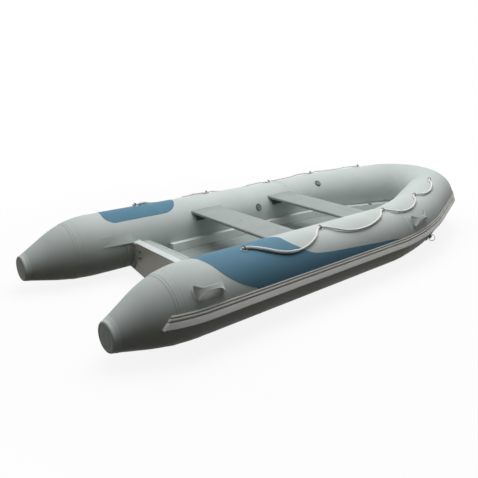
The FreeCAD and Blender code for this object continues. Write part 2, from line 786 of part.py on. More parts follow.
foot_low = size("holder_foot") - transom_drop
foot_high = size("fin_low") + radius - transom_top
flange_slab = slab("holder_flange_slab", -size("holder_flange_length"), 0,
                   foot_low, foot_high + 2 * size("fin_edge"))
lip_slab = slab("holder_lip_slab", -size("holder_lip_thickness"), 0, foot_low, foot_high)
ahead_of_plank = slab("ahead_of_plank", 0, side_length, -2 * radius, 2 * radius)
for side_name, side in SIDES.items():
    inboard = doc.addObject("Part::Box", f"inboard_half_{side_name}")
    bind(inboard, Length="4 * Sizes.side_length", Width="Sizes.half_spacing", Height="2 * Sizes.tube_radius")
    inboard.Placement = Placement(
        Vector(-2 * side_length, 0 if side == PORT else -spacing, 0), Rotation())
    flange = round_tube("holder_flange", side_name, side, "Sizes.holder_flange", flange_slab)
    lip = round_tube("holder_lip", side_name, side, "Sizes.holder_lip", lip_slab)
    fin_ends = [
        solid(f"fin_aft_end_{side_name}", fin_section(
            transom_station - size("fin_length"), side, size("fin_tip"))),
        solid(f"fin_fore_end_{side_name}", fin_section(
            transom_station + size("transom_thickness"), side, radius + size("fin_overhang"))),
    ]
    fin_body = doc.addObject("Part::Loft", f"holder_fin_{side_name}")
    fin_body.Sections = fin_ends
    fin_body.Solid = True
    fin_body.Ruled = True
    fin = cut(f"fin_{side_name}", fin_body, ahead_of_plank)
    blank = fuse(f"holder_blank_{side_name}", flange, lip, fin)
    inner_part = doc.addObject("Part::MultiCommon", f"holder_inner_{side_name}")
    inner_part.Shapes = [blank, inboard]
    keep(cut(f"transom_bracket_{side_name}", inner_part, tubes[side_name], cones[side_name]),
         f"transom_bracket_{side_name}")


def stern_eye(side_name, side):
    """U-bolt standing upright on the transom's aft face, on two round washers."""
    half = size("eye_span") / 2
    reach = size("eye_reach") - half
    bend = doc.addObject("Part::Torus", f"eye_bend_{side_name}")
    bind(bend, Radius1="Sizes.eye_span / 2", Radius2="Sizes.eye_rod")
    bend.Angle3 = 180
    upright = Rotation(AXIS_Z, -AXIS_X, -AXIS_Y, "XYZ")
    bend.Placement = Placement(Vector(-reach, 0, 0), upright)
    legs = []
    for level in (-half, half):
        leg = doc.addObject("Part::Cylinder", f"eye_leg_{side_name}_{len(legs)}")
        bind(leg, Radius="Sizes.eye_rod", Height="Sizes.eye_reach - Sizes.eye_span / 2")
        leg.Placement = Placement(Vector(-reach, 0, level), Rotation(AXIS_Y, 90))
        washer = doc.addObject("Part::Cylinder", f"eye_washer_{side_name}_{len(legs)}")
        bind(washer, Radius="Sizes.eye_washer", Height="Sizes.eye_washer_thickness")
        washer.Placement = Placement(
            Vector(-size("eye_washer_thickness"), 0, level), Rotation(AXIS_Y, 90))
        legs += [leg, washer]
    whole = fuse(f"stern_eye_{side_name}", bend, *legs)
    drop = size("eye_height") / math.cos(rake) - transom_drop
    whole.Placement = transom_frame.multiply(
        Placement(Vector(0, side * (spacing - radius - size("eye_inset")), drop), Rotation()))
    return whole


for side_name, side in SIDES.items():
    keep(stern_eye(side_name, side), f"stern_eye_{side_name}")


# Benches and their rubber brackets

bench_ends = []
for side_name, side in SIDES.items():
    end = doc.addObject("Part::Cylinder", f"bench_end_{side_name}")
    bind(end, Radius="Sizes.tube_radius + Sizes.bench_gap", Height="2 * Sizes.side_length")
    end.Placement = Placement(Vector(0, side * spacing, radius), Rotation(AXIS_Y, 90))
    bench_ends.append(end)

bench_stations = {"aft": size("bench_aft_station"), "fore": side_length - size("bench_fore_setback")}
bench_under = radius + size("bench_rise") - size("bench_thickness")
tube_face = spacing - math.sqrt(radius ** 2 - (bench_under - radius) ** 2)
for place, station in bench_stations.items():
    bench, bench_pad = pad_body(f"bench_{place}_body", "XZ_Plane", [
        ("Sizes.bench_edge", "0"),
        ("Sizes.bench_width - Sizes.bench_edge", "0"),
        ("Sizes.bench_width", "Sizes.bench_edge"),
        ("Sizes.bench_width", "Sizes.bench_thickness - Sizes.bench_edge"),
        ("Sizes.bench_width - Sizes.bench_edge", "Sizes.bench_thickness"),
        ("Sizes.bench_edge", "Sizes.bench_thickness"),
        ("0", "Sizes.bench_thickness - Sizes.bench_edge"),
        ("0", "Sizes.bench_edge"),
    ], "2 * Sizes.half_spacing", both_ways=True)
    bench.Placement = Placement(Vector(station, 0, bench_under), Rotation())
    keep(cut(f"bench_{place}", bench, *bench_ends), f"bench_{place}")
    for side_name, side in SIDES.items():
        top_reach = side * (tube_face - size("bracket_top_reach"))
        foot_reach = side * (tube_face - size("bracket_foot_reach"))
        outer = side * spacing
        foot = bench_under - size("bracket_depth")
        wedge = [Vector(0, top_reach, bench_under), Vector(0, outer, bench_under),
                 Vector(0, outer, foot), Vector(0, foot_reach, foot)]
        wedge_face = Part.Face(Part.makePolygon(wedge + wedge[:1]))
        length = size("bench_width") - 2 * size("bracket_inset")
        block = solid(f"bracket_block_{place}_{side_name}", wedge_face.extrude(Vector(length, 0, 0)),
                      Placement(Vector(station + size("bracket_inset"), 0, 0), Rotation()))
        keep(cut(f"bench_bracket_{place}_{side_name}", block, tubes[side_name]),
             f"bench_bracket_{place}_{side_name}")


# Valves, one for each air chamber

VALVES = {
    "aft": (side_length - size("valve_aft_setback"), size("valve_aft_angle")),
    "fore": (side_length + size("valve_fore_ahead"), size("valve_fore_angle")),
}
for place, (distance, angle) in VALVES.items():
    for side_name, side in SIDES.items():
        valve = turned_body(f"valve_{place}_{side_name}_body", [
            ("0", "-Sizes.valve_seat"),
            ("Sizes.valve_radius", "-Sizes.valve_seat"),
            ("Sizes.valve_radius", "Sizes.valve_groove"),
            ("Sizes.valve_radius - Sizes.valve_rim", "Sizes.valve_height - Sizes.valve_groove"),
            ("Sizes.valve_cap_radius + Sizes.valve_groove", "Sizes.valve_height - Sizes.valve_groove"),
            ("Sizes.valve_cap_radius + Sizes.valve_groove", "Sizes.valve_groove"),
            ("Sizes.valve_cap_radius", "Sizes.valve_groove"),
            ("Sizes.valve_cap_radius", "Sizes.valve_height"),
            ("0", "Sizes.valve_height"),
        ])
        valve.Placement = tube_seat(distance, angle, side)
        carrier = tubes[side_name] if distance < side_length else tube_bow
        keep(cut(f"valve_{place}_{side_name}", valve, carrier), f"valve_{place}_{side_name}")


# Lifeline holders: a round rubber plate with an eye for the rope

HOLDERS = [
    size("holder_station_one"),
    size("holder_station_two"),
    size("holder_station_three"),
    side_length + size("holder_ahead_four"),
    side_length + size("holder_ahead_five"),
]
for side_name, side in SIDES.items():
    holders = []
    for number, distance in enumerate(HOLDERS):
        frame = tube_seat(distance, size("holder_angle"), side)
        plate = doc.addObject("Part::Cylinder", f"holder_plate_{side_name}_{number}")
        bind(plate, Radius="Sizes.holder_radius", Height="Sizes.holder_plate + Sizes.holder_seat")
        plate.Placement = frame.multiply(Placement(Vector(0, 0, -size("holder_seat")), Rotation()))
        eye = doc.addObject("Part::Torus", f"holder_eye_{side_name}_{number}")
        bind(eye, Radius1="Sizes.holder_eye + Sizes.holder_rod", Radius2="Sizes.holder_rod")
        eye_centre = size("holder_plate") + size("holder_eye") - size("ring_clearance")
        eye.Placement = frame.multiply(Placement(Vector(0, 0, eye_centre), Rotation(AXIS_Y, 90)))
        blank = fuse(f"holder_blank_{side_name}_{number}", plate, eye)
        carriers = [tubes[side_name], panels[side_name]] if distance < side_length else [tube_bow]
        holders.append(cut(f"holder_{side_name}_{number}", blank, *carriers))
    keep(fuse(f"rope_holders_{side_name}", *holders), f"rope_holders_{side_name}")


# Grab handles: an arched strap, narrow in the hand and flared at both feet

HANDLES = {"stern": size("handle_stern_station"), "bow": side_length + size("handle_bow_ahead")}
half_length = size("handle_half_length")
arch_rise = size("handle_rise")
arch_radius = (half_length ** 2 + arch_rise ** 2) / (2 * arch_rise)
waist_depth = (size("handle_foot_width") - size("handle_waist")) / 2
waist_radius = (half_length ** 2 + waist_depth ** 2) / (2 * waist_depth)


def handle(place, side_name, side):
    seat = tube_seat(HANDLES[place], size("handle_angle"), side)
    tag = f"{place}_{side_name}"
    hoops = []
    for layer, drop in (("outer", 0), ("inner", size("handle_thickness"))):
        hoop = doc.addObject("Part::Cylinder", f"handle_{layer}_{tag}")
        hoop.Radius = arch_radius - drop
        bind(hoop, Height="2 * Sizes.handle_foot_width")
        hoop.Placement = seat.multiply(Placement(
            Vector(0, size("handle_foot_width"), arch_rise - arch_radius), Rotation(AXIS_X, 90)))
        hoops.append(hoop)
    arch = cut(f"handle_arch_{tag}", *hoops)
    strap = doc.addObject("Part::Box", f"handle_strap_{tag}")
    strap.Length = 2.4 * half_length
    bind(strap, Width="Sizes.handle_foot_width", Height="2 * Sizes.handle_rise")
    strap.Placement = seat.multiply(Placement(
        Vector(-1.2 * half_length, -size("handle_foot_width") / 2, -0.9 * arch_rise), Rotation()))
    flanks = []
    for flank in (-1, 1):
        scoop = doc.addObject("Part::Cylinder", f"handle_scoop_{tag}_{flank + 1}")
        scoop.Radius = waist_radius
        bind(scoop, Height="4 * Sizes.handle_rise")
        offset = flank * (size("handle_waist") / 2 + waist_radius)
        scoop.Placement = seat.multiply(Placement(Vector(0, offset, -2 * arch_rise), Rotation()))
        flanks.append(scoop)
    plan = cut(f"handle_plan_{tag}", strap, *flanks)
    grip = doc.addObject("Part::MultiCommon", f"handle_grip_{tag}")
    grip.Shapes = [arch, plan]
    carriers = [tubes[side_name], cones[side_name] if place == "stern" else tube_bow]
    return cut(f"handle_{tag}", grip, *carriers)


for place in HANDLES:
    for side_name, side in SIDES.items():
        keep(handle(place, side_name, side), f"handle_{place}_{side_name}")


# Towing rings: a patch with a loop on the bow's quarter and a free ring in it

ring_rod = size("ring_rod")
loop_bore = ring_rod + size("ring_clearance")
loop_outer = loop_bore + size("ring_loop_wall")
ring_pivot_height = size("ring_patch_plate") + loop_outer
for side_name, side in SIDES.items():
    frame = tube_seat(side_length + size("ring_ahead"), size("ring_angle"), side)
    patch = doc.addObject("Part::Cylinder", f"ring_patch_plate_{side_name}")
    bind(patch, Radius="Sizes.ring_patch", Height="Sizes.ring_patch_plate + Sizes.ring_patch_seat")
    patch.Placement = frame.multiply(Placement(Vector(0, 0, -size("ring_patch_seat")), Rotation()))
    loop = doc.addObject("Part::Cylinder", f"ring_loop_{side_name}")
    bind(loop, Radius="Sizes.ring_rod + Sizes.ring_clearance + Sizes.ring_loop_wall",
         Height="Sizes.ring_loop_width")
    loop.Placement = frame.multiply(Placement(
        Vector(0, -size("ring_loop_width") / 2, ring_pivot_height), Rotation(AXIS_X, -90)))
    web = doc.addObject("Part::Box", f"ring_web_{side_name}")
    bind(web, Length="2 * (Sizes.ring_rod + Sizes.ring_clearance + Sizes.ring_loop_wall)",
         Width="Sizes.ring_loop_width")
    web.Height = ring_pivot_height
    web.Placement = frame.multiply(Placement(
        Vector(-loop_outer, -size("ring_loop_width") / 2, 0), Rotation()))
    hole = doc.addObject("Part::Cylinder", f"ring_bore_{side_name}")
    bind(hole, Radius="Sizes.ring_rod + Sizes.ring_clearance", Height="2 * Sizes.ring_loop_width")
    hole.Placement = frame.multiply(Placement(
        Vector(0, -size("ring_loop_width"), ring_pivot_height), Rotation(AXIS_X, -90)))
    blank = fuse(f"ring_patch_{side_name}_blank", patch, loop, web)
    keep(cut(f"ring_patch_{side_name}", blank, hole, tube_bow), f"ring_patch_{side_name}")

    # The bar lies across the tube, so the ring's own weight leaves it standing out of the loop
    bar_centre = frame.multVec(Vector(0, 0, ring_pivot_height))
    across = frame.Rotation.multVec(AXIS_Y)
    out = frame.Rotation.multVec(AXIS_Z)
    hang = Placement(bar_centre, Rotation(across, out, across.cross(out), "XYZ"))
    chord = math.sqrt(size("ring_radius") ** 2 - size("ring_bar_offset") ** 2)
    bar = doc.addObject("Part::Cylinder", f"ring_bar_{side_name}")
    bind(bar, Radius="Sizes.ring_rod")
    bar.Height = 2 * chord
    bar.Placement = hang.multiply(Placement(Vector(-chord, 0, 0), Rotation(AXIS_Y, 90)))
    reach = math.degrees(math.asin((size("ring_bar_offset") + 0.8 * ring_rod) / size("ring_radius")))
    bow = doc.addObject("Part::Torus", f"ring_bow_{side_name}")
    bind(bow, Radius1="Sizes.ring_radius", Radius2="Sizes.ring_rod")
    bow.Angle3 = 180 + 2 * reach
    bow.Placement = hang.multiply(Placement(Vector(0, size("ring_bar_offset"), 0), Rotation(AXIS_Z, -reach)))
    keep(fuse(f"tow_ring_{side_name}", bar, bow), f"tow_ring_{side_name}")
    print("tow ring", side_name, "pivot", bar_centre, "axis", across, "out", out)


# Lifelines: one rope each side, hanging in swags between the holders

# Swags between neighbouring holders: share of the way and angle on the tube
ROPE_SWAGS = [
    [(0.16, 67), (0.27, 56), (0.4, 49), (0.54, 48), (0.69, 53), (0.82, 62)],
    [(0.13, 66), (0.25, 57), (0.39, 53), (0.53, 53), (0.69, 57), (0.85, 66)],
    [(0.17, 68), (0.34, 60), (0.52, 59), (0.69, 63), (0.84, 71)],
    [(0.14, 71), (0.3, 66), (0.47, 64), (0.65, 66), (0.81, 72)],
]


def rope_route():
    """Distance, angle and whether the point lies in a holder's eye."""
    angle = size("holder_angle")
    entry = size("rope_entry")
    route = [(HOLDERS[0] - size("rope_tail"), angle, True)]
    for start, end, swag in zip(HOLDERS, HOLDERS[1:], ROPE_SWAGS):
        route.append((start + entry, angle, True))
        route += [(start + share * (end - start), low, False) for share, low in swag]
        route.append((end - entry, angle, True))
    route.append((HOLDERS[-1] + size("rope_tail"), angle, True))
    return route


def rope_points(side):
    """The rope lies on each holder's plate, leaves it a little proud and sags onto the tube."""
    in_eye = size("holder_plate") + size("rope_radius") + size("rope_clearance")
    on_skin = size("rope_radius") + size("rope_gap")
    route = rope_route()
    beside_eye = [any(near[2] for near in route[max(0, number - 1):number + 2])
                  for number in range(len(route))]
    points = []
    for (distance, angle, eye), beside in zip(route, beside_eye):
        lift = in_eye if eye else on_skin + (size("rope_stand_off") if beside else 0)
        points.append(on_tube(distance, angle, lift, side))
    return points


def rope_wire(points):
    edges = []
    radii = []
    last = points[0]
    for before, corner, after in zip(points, points[1:], points[2:]):
        to_before = (before - corner).normalize()
        to_after = (after - corner).normalize()
        inside = math.acos(max(-1.0, min(1.0, to_before.dot(to_after))))
        shorter = min((before - corner).Length, (after - corner).Length)
        trim = 0.45 * shorter
        arc_radius = trim * math.tan(inside / 2)
        radii.append(arc_radius)
        start = corner + to_before * trim
        end = corner + to_after * trim
        middle_direction = (to_before + to_after).normalize()
        middle = corner + middle_direction * (arc_radius / math.sin(inside / 2) - arc_radius)
        edges.append(Part.LineSegment(last, start).toShape())
        edges.append(Part.Arc(start, middle, end).toShape())
        last = end
    edges.append(Part.LineSegment(last, points[-1]).toShape())
    return Part.Wire(edges), radii


for side_name, side in SIDES.items():
    points = rope_points(side)
    path, radii = rope_wire(points)
    start_direction = (points[1] - points[0]).normalize()
    ring = Part.Wire(Part.makeCircle(size("rope_radius"), points[0], start_direction))
    rope_shape = path.makePipeShell([ring], True, False)
    ideal = math.pi * size("rope_radius") ** 2 * path.Length
    print("rope", side_name, "length", round(path.Length, 1), "smallest radius", round(min(radii), 1),
          "volume ratio", round(rope_shape.Volume / ideal, 4))
    keep(solid(f"rope_{side_name}_line", rope_shape), f"rope_{side_name}")


# Output: check every object, centre the boat on its own length, write the files

doc.recompute()
faults = [item.Name for item in doc.Objects if "Invalid" in item.State or "Error" in item.State]
if faults:
    raise RuntimeError(f"objects that failed: {faults}")
whole = FreeCAD.BoundBox()
for label, item in pieces.items():
    if item.Shape.isNull() or not item.Shape.isValid():
        raise RuntimeError(f"no valid shape: {label}")
    if label not in ("rope_port", "rope_starboard"):
        whole.add(item.Shape.optimalBoundingBox(False, False))
shift = Vector(-(whole.XMin + whole.XMax) / 2, 0, 0)
print("shift", shift.x, "box", whole)
os.makedirs("parts", exist_ok=True)
for label, item in pieces.items():
    placed = item.Placement
    item.Placement = Placement(placed.Base + shift, placed.Rotation)
    shape = item.Shape
    lowest = min(corner.z for corner in shape.tessellate(0.5)[0])
    print(label, len(shape.Solids), round(shape.Volume / 1e6, 3), "litres, lowest", round(lowest, 3))
    shape.exportStep(f"parts/{label}.step")
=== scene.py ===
# %% [markdown]
# # A rigid inflatable boat in a studio
#
# The object is an open boat of about four metres: inflated fabric tubes round a moulded hull, with
# two benches, a raked transom and a rope along each side. Its rigid pieces arrive as a finished
# frame in metres. This lesson gives each of them its material, and makes the soft and small pieces
# that the frame only blocks out. The frame comes first, because every later place is read from it.

# %% Load the frame
import math

import bmesh
import bpy
from mathutils import Matrix, Vector


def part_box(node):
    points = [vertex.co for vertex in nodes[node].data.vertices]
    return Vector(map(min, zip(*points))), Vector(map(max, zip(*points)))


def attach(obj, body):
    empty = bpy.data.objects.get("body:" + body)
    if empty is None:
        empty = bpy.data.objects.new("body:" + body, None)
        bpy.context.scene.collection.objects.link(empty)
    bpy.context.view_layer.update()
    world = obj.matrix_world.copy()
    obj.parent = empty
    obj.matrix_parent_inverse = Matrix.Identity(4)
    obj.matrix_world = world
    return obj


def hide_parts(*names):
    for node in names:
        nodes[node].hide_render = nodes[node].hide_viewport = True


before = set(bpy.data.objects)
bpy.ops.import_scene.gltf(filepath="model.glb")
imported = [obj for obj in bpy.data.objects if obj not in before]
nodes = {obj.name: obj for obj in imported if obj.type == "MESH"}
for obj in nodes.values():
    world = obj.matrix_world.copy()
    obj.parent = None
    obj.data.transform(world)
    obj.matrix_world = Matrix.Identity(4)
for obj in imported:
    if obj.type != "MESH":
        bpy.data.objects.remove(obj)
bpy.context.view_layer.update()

scene = bpy.context.scene
print("pieces in the frame:", len(nodes))

# %% [markdown]
# ## The lines everything is laid out from
#
# A boat builder marks out from the tubes: their diameter, how far apart they lie, and the two
# seams where the stern cones and the bow section begin. The same marks are read here from the
# boxes of the frame's pieces, so a piece placed by them can't drift off the tube that carries it.

# %% Read the marks off the frame
side_low, side_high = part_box("tube_port")
TUBE_RADIUS = (side_high[1] - side_low[1]) / 2
TUBE_OUT = (side_high[1] + side_low[1]) / 2
TUBE_UP = TUBE_RADIUS
SIDE_LENGTH = 1.932
STERN_SEAM = side_low[0]
BOW_SEAM = STERN_SEAM + SIDE_LENGTH
BOW_RISE = math.radians(3.96)
SHOULDER_TURN, SHOULDER_RADIUS, BOW_STRAIGHT = math.radians(18.8), 2.048, 0.563
BOW_RADIUS = (TUBE_OUT - SHOULDER_RADIUS * (1 - math.cos(SHOULDER_TURN))
              - BOW_STRAIGHT * math.sin(SHOULDER_TURN)) / math.cos(SHOULDER_TURN)
CONE_LENGTH, CONE_END, CONE_DROP, CONE_KNEE = 0.508, 0.0875, 0.0635, 0.678
CONE_SHARE = (1 - CONE_KNEE) + CONE_KNEE / 2
STARBOARD, PORT = -1, 1
SIDES = {"port": PORT, "starboard": STARBOARD}

# The bow section's plan is drawn level from the bow seam, then tipped up about that seam.
BOW_TIP = Matrix.Translation((BOW_SEAM, 0, TUBE_UP)) @ Matrix.Rotation(-BOW_RISE, 4, "Y")
BOW_START = Vector((0, -TUBE_OUT, 0))
BOW_WAY = Vector((math.cos(SHOULDER_TURN), math.sin(SHOULDER_TURN), 0))
SHOULDER_END = BOW_START + SHOULDER_RADIUS * Vector((math.sin(SHOULDER_TURN),
                                                     1 - math.cos(SHOULDER_TURN), 0))
BOW_CENTRE = Vector(((SHOULDER_END + BOW_STRAIGHT * BOW_WAY).x
                     - BOW_RADIUS * math.sin(SHOULDER_TURN), 0, 0))
print("tube radius", round(TUBE_RADIUS, 4), "bow radius", round(BOW_RADIUS, 4))


def swung(angle, start, across):
    """The direction at this angle from start towards across."""
    return math.cos(angle) * start + math.sin(angle) * across


def cone_fall(share):
    """How far a cone has narrowed: a rounded shoulder first, then straight."""
    slope = 1 / CONE_SHARE
    return slope / (2 * CONE_KNEE) * share ** 2 if share < CONE_KNEE else 1 - slope * (1 - share)


def cone_radius(fall):
    return TUBE_RADIUS + (CONE_END - TUBE_RADIUS) * fall


def tube_size(distance):
    """The tube's radius, and how far its middle has sunk."""
    fall = cone_fall(min(1.0, -distance / CONE_LENGTH)) if distance < 0 else 0.0
    return cone_radius(fall), CONE_DROP * fall


def centreline(distance):
    """Point, forward, outward and upward on the starboard tube's middle, from the stern seam on."""
    along = distance - SIDE_LENGTH
    if along <= 0:
        sunk = TUBE_UP - tube_size(distance)[1]
        return (Vector((STERN_SEAM + distance, -TUBE_OUT, sunk)), Vector((1, 0, 0)),
                Vector((0, -1, 0)), Vector((0, 0, 1)))
    first_arc = SHOULDER_RADIUS * SHOULDER_TURN
    if along <= first_arc:
        heading = along / SHOULDER_RADIUS
        point = BOW_START + SHOULDER_RADIUS * Vector((math.sin(heading), 1 - math.cos(heading), 0))
    elif along <= first_arc + BOW_STRAIGHT:
        heading = SHOULDER_TURN
        point = SHOULDER_END + (along - first_arc) * BOW_WAY
    else:
        heading = SHOULDER_TURN + (along - first_arc - BOW_STRAIGHT) / BOW_RADIUS
        point = BOW_CENTRE + BOW_RADIUS * Vector((math.sin(heading), -math.cos(heading), 0))
    turned = BOW_TIP.to_3x3()
    return (BOW_TIP @ point, turned @ Vector((math.cos(heading), math.sin(heading), 0)),
            turned @ Vector((math.sin(heading), -math.cos(heading), 0)), turned @ Vector((0, 0, 1)))


def tube_seat(distance, angle, side, lift=0.0):
    """Frame on the tube: X along it, Z straight out; the angle counts up from the outboard side."""
    point, forward, outward, upward = centreline(distance)
    normal = swung(math.radians(angle), outward, upward)
    place = point + (tube_size(distance)[0] + lift) * normal
    if side == PORT:
        place, forward, normal = (Vector((v.x, -v.y, v.z)) for v in (place, forward, normal))
    seat = Matrix((forward, normal.cross(forward), normal)).transposed().to_4x4()
    seat.translation = place
    return seat


# %% [markdown]
# ## Camera
#
# The picture was taken from behind the starboard quarter at standing eye height, close enough that
# the near cone looks much larger than the far one. A lens of about 39 mm on a full-frame sensor
# gives that.

# %% Camera behind the starboard quarter
def link_item(name, data):
    """A new object in the scene."""
    item = bpy.data.objects.new(name, data)
    scene.collection.objects.link(item)
    return item


EYE = (-3.1206, -2.8205, 1.503)
yaw, pitch, roll = 0.8445, -0.3232, 0.0212
ahead = Vector((math.cos(pitch) * math.cos(yaw), math.cos(pitch) * math.sin(yaw), math.sin(pitch)))
right = ahead.cross(Vector((0, 0, 1))).normalized()
camera_data = bpy.data.cameras.new("camera")
camera_data.lens, camera_data.sensor_width = 38.98, 36
camera = link_item("camera", camera_data)
turn = Matrix((right, right.cross(ahead), -ahead)).transposed().to_4x4()
camera.matrix_world = Matrix.Translation(EYE) @ turn @ Matrix.Rotation(roll, 4, "Z")
scene.camera = camera
print("camera height", round(camera.location.z, 3))

# %% [markdown]
# ## Helpers for materials and for modelling
#
# A node tree is easiest to read when each node is one line: its kind, its settings and what is
# plugged into it. Colours are given as hex swatches, and turned to the linear values a shader
# works in. Nearly every finish drifts softly between two of them.

# %% Colour, node and material helpers
def swatch(code):
    """Linear colour from an sRGB hex swatch."""
    values = [int(code[n:n + 2], 16) / 255 for n in (1, 3, 5)]
    return tuple(v / 12.92 if v <= 0.04045 else ((v + 0.055) / 1.055) ** 2.4 for v in values) + (1.0,)


def socket_key(name):
    """Sockets go by name, or by number where the name is an underscore and digits."""
    return int(name[1:]) if name[0] == "_" else name.replace("_", " ")


def plug_in(tree, source, socket):
    """Link a socket, or a node's first output."""
    tree.links.new(getattr(source, "outputs", [source])[0], socket)


def add_node(tree, kind, settings=None, **links):
    """One node; settings are properties or socket values, links are what it reads from."""
    item = tree.nodes.new("ShaderNode" + kind)
    for name, value in (settings or {}).items():
        if hasattr(item, name):
            setattr(item, name, value)
        else:
            item.inputs[socket_key(name)].default_value = value
    for name, source in links.items():
        plug_in(tree, source, item.inputs[socket_key(name)])
    return item


def maths(tree, operation, *terms):
    """One Math node; each term is a number or something to read from."""
    item = add_node(tree, "Math", {"operation": operation})
    for socket, term in zip(item.inputs, terms):
        if isinstance(term, float):
            socket.default_value = term
        else:
            plug_in(tree, term, socket)
    return item


def remap(tree, source, start, end, low, high, **settings):
    """Stretch a value from one range to another."""
    settings |= {"From Min": start, "From Max": end, "To Min": low, "To Max": high}
    return add_node(tree, "MapRange", settings, Value=source)


def new_material(name):
    """A material with its tree, shader and object coordinates."""
    material = bpy.data.materials.new(name)
    material.use_nodes = True
    tree = material.node_tree
    return material, tree, tree.nodes["Principled BSDF"], add_node(tree, "TexCoord").outputs["Object"]


def clouded(name, dark, pale, clouds, constants):
    """Material whose colour drifts between two swatches; its clouds are returned too."""
    material, tree, shader, place = new_material(name)
    drift = add_node(tree, "TexNoise", clouds, Vector=place)
    ramp = add_node(tree, "ValToRGB", Fac=drift)
    for stop, position, code in zip(ramp.color_ramp.elements, (0.3, 0.7), (dark, pale)):
        stop.position, stop.color = position, swatch(code)
    plug_in(tree, ramp, shader.inputs["Base Color"])
    for socket, value in constants.items():
        shader.inputs[socket].default_value = value
    return material, tree, shader, place, drift


def add_relief(tree, shader, *layers):
    """Bumps laid over each other, each given as height, strength and distance."""
    under = {}
    for height, strength, distance in layers:
        settings = {"Strength": strength, "Distance": distance}
        bump = add_node(tree, "Bump", settings, Height=height, **under)
        under = {"Normal": bump}
    plug_in(tree, bump, shader.inputs["Normal"])


def dress(item, material):
    """Give an object this one material."""
    item.data.materials.clear()
    item.data.materials.append(material)
    for face in item.data.polygons:
        face.material_index = 0


# %% [markdown]
# Modelling goes through the same operators a person would click. Each starts from what is
# selected, so the helpers clear the selection first. They end with an object at the origin, which
# keeps the pattern of its material still.

# %% Modelling helpers
def clear_selection():
    if bpy.context.object and bpy.context.object.mode != "OBJECT":
        object_mode()
    bpy.ops.object.select_all(action="DESELECT")


def object_mode():
    bpy.ops.object.mode_set(mode="OBJECT")


def make_active(item):
    clear_selection()
    item.select_set(True)
    bpy.context.view_layer.objects.active = item


def edit(item, mode="FACE", action="SELECT"):
    """Open a mesh with everything selected, or nothing."""
    make_active(item)
    bpy.ops.object.mode_set(mode="EDIT")
    bpy.ops.mesh.select_mode(type=mode)
    bpy.ops.mesh.select_all(action=action)


def pick(item, rule, mode="FACE"):
    """In edit mode, select the faces or vertices whose middle passes the rule."""
    edit(item, mode, "DESELECT")
    mesh = bmesh.from_edit_mesh(item.data)
    for part in mesh.verts if mode == "VERT" else mesh.faces:
        if rule(part.co if mode == "VERT" else part.calc_center_median(), part.normal):
            part.select_set(True)
    mesh.select_flush_mode()
    bmesh.update_edit_mesh(item.data)


def settle(item, matrix=Matrix()):
    """Put the object's place into its mesh, so that the object sits at the origin."""
    item.data.transform(matrix @ item.matrix_world)
    item.matrix_world = Matrix()
    item.data.update()
    return item


PRIMITIVES = {"circle": bpy.ops.mesh.primitive_circle_add, "grid": bpy.ops.mesh.primitive_grid_add,
              "cube": bpy.ops.mesh.primitive_cube_add}


def begin(name, kind, mode="FACE", **settings):
    """Add a primitive and open it with everything selected."""
    clear_selection()
    PRIMITIVES[kind](**settings)
    item = bpy.context.object
    item.name = name
    edit(settle(item), mode)
    return item


def extrude_along(step, count=1):
    for _ in range(count):
        bpy.ops.mesh.extrude_region_move(TRANSFORM_OT_translate={"value": tuple(step)})


def scale(factors, centre=(0, 0, 0)):
    bpy.ops.transform.resize(value=factors, center_override=centre)


def close_up(item, merge=0.0):
    """Leave a mesh clean: doubled points merged where asked, and every face turned outward."""
    edit(item)
    if merge:
        bpy.ops.mesh.remove_doubles(threshold=merge)
    bpy.ops.mesh.normals_make_consistent()
    object_mode()
    return item


def apply_modifier(item, kind, **settings):
    modifier = item.modifiers.new(kind.lower(), kind)
    for name, value in settings.items():
        setattr(modifier, name, value)
    make_active(item)
    bpy.ops.object.modifier_apply(modifier=modifier.name)


def soften(item, width, angle):
    apply_modifier(item, "BEVEL", width=width, segments=2, limit_method="ANGLE",
                   angle_limit=math.radians(angle))


def finish_piece(item, material, angle=35, node=None):
    """Smooth, dress and ride: the last steps of every piece. It may stand in for a frame node."""
    item.data.name = item.name
    make_active(item)
    bpy.ops.object.shade_smooth_by_angle(angle=math.radians(angle))
    dress(item, material)
    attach(item, "boat")
    if node:
        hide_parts(node)
    return item


def copy_piece(item, name, matrix=Matrix()):
    """A copy with its own mesh, placed by the matrix."""
    twin = item.copy()
    twin.data = item.data.copy()
    twin.name = twin.data.name = name
    for collection in item.users_collection:
        collection.objects.link(twin)
    return settle(twin, matrix)


# %% [markdown]
# Patches, tapes and straps are cut flat and then glued round the tube. They are made that way here
# too: a piece is drawn flat at the origin, with X along the tube, Y round it and Z as its height,
# and one function wraps it on. So it lies on the skin wherever it goes, also on a cone or the bow.

# %% Wrap a flat piece round the tube
def lay_on_tube(item, distance, angle, side):
    """Glue a flat piece on, its origin at this place; the angle counts up from the outboard side."""
    for vertex in item.data.vertices:
        x, y, z = vertex.co
        vertex.co = tube_seat(distance + x, angle + math.degrees(y / TUBE_RADIUS), side, z).translation
    if side == PORT:
        item.data.flip_normals()
    item.data.update()
    return item


def thicken(item, thick):
    apply_modifier(item, "SOLIDIFY", thickness=thick, offset=1.0)
    return close_up(item)


def flat_patch(name, half_straight, half_width, thick, steps=5):
    """A patch with round ends, filled ring by ring so that it can bend."""
    patch = begin(name, "circle", vertices=64, radius=half_width, fill_type="NGON")
    for way in (1, -1):
        pick(patch, lambda co, normal: co.x * way > 0.001, "VERT")
        bpy.ops.transform.translate(value=(way * half_straight, 0, 0))
    edit(patch)
    for _ in range(steps):
        bpy.ops.mesh.inset(thickness=half_width / (steps + 1))
    return thicken(patch, thick)


def flat_tape(name, width, thick):
    """A strip that goes once round the tube."""
    tape = begin(name, "grid", x_subdivisions=6, y_subdivisions=128, size=1)
    scale((width, 2 * math.pi * TUBE_RADIUS, 1))
    return thicken(tape, thick)


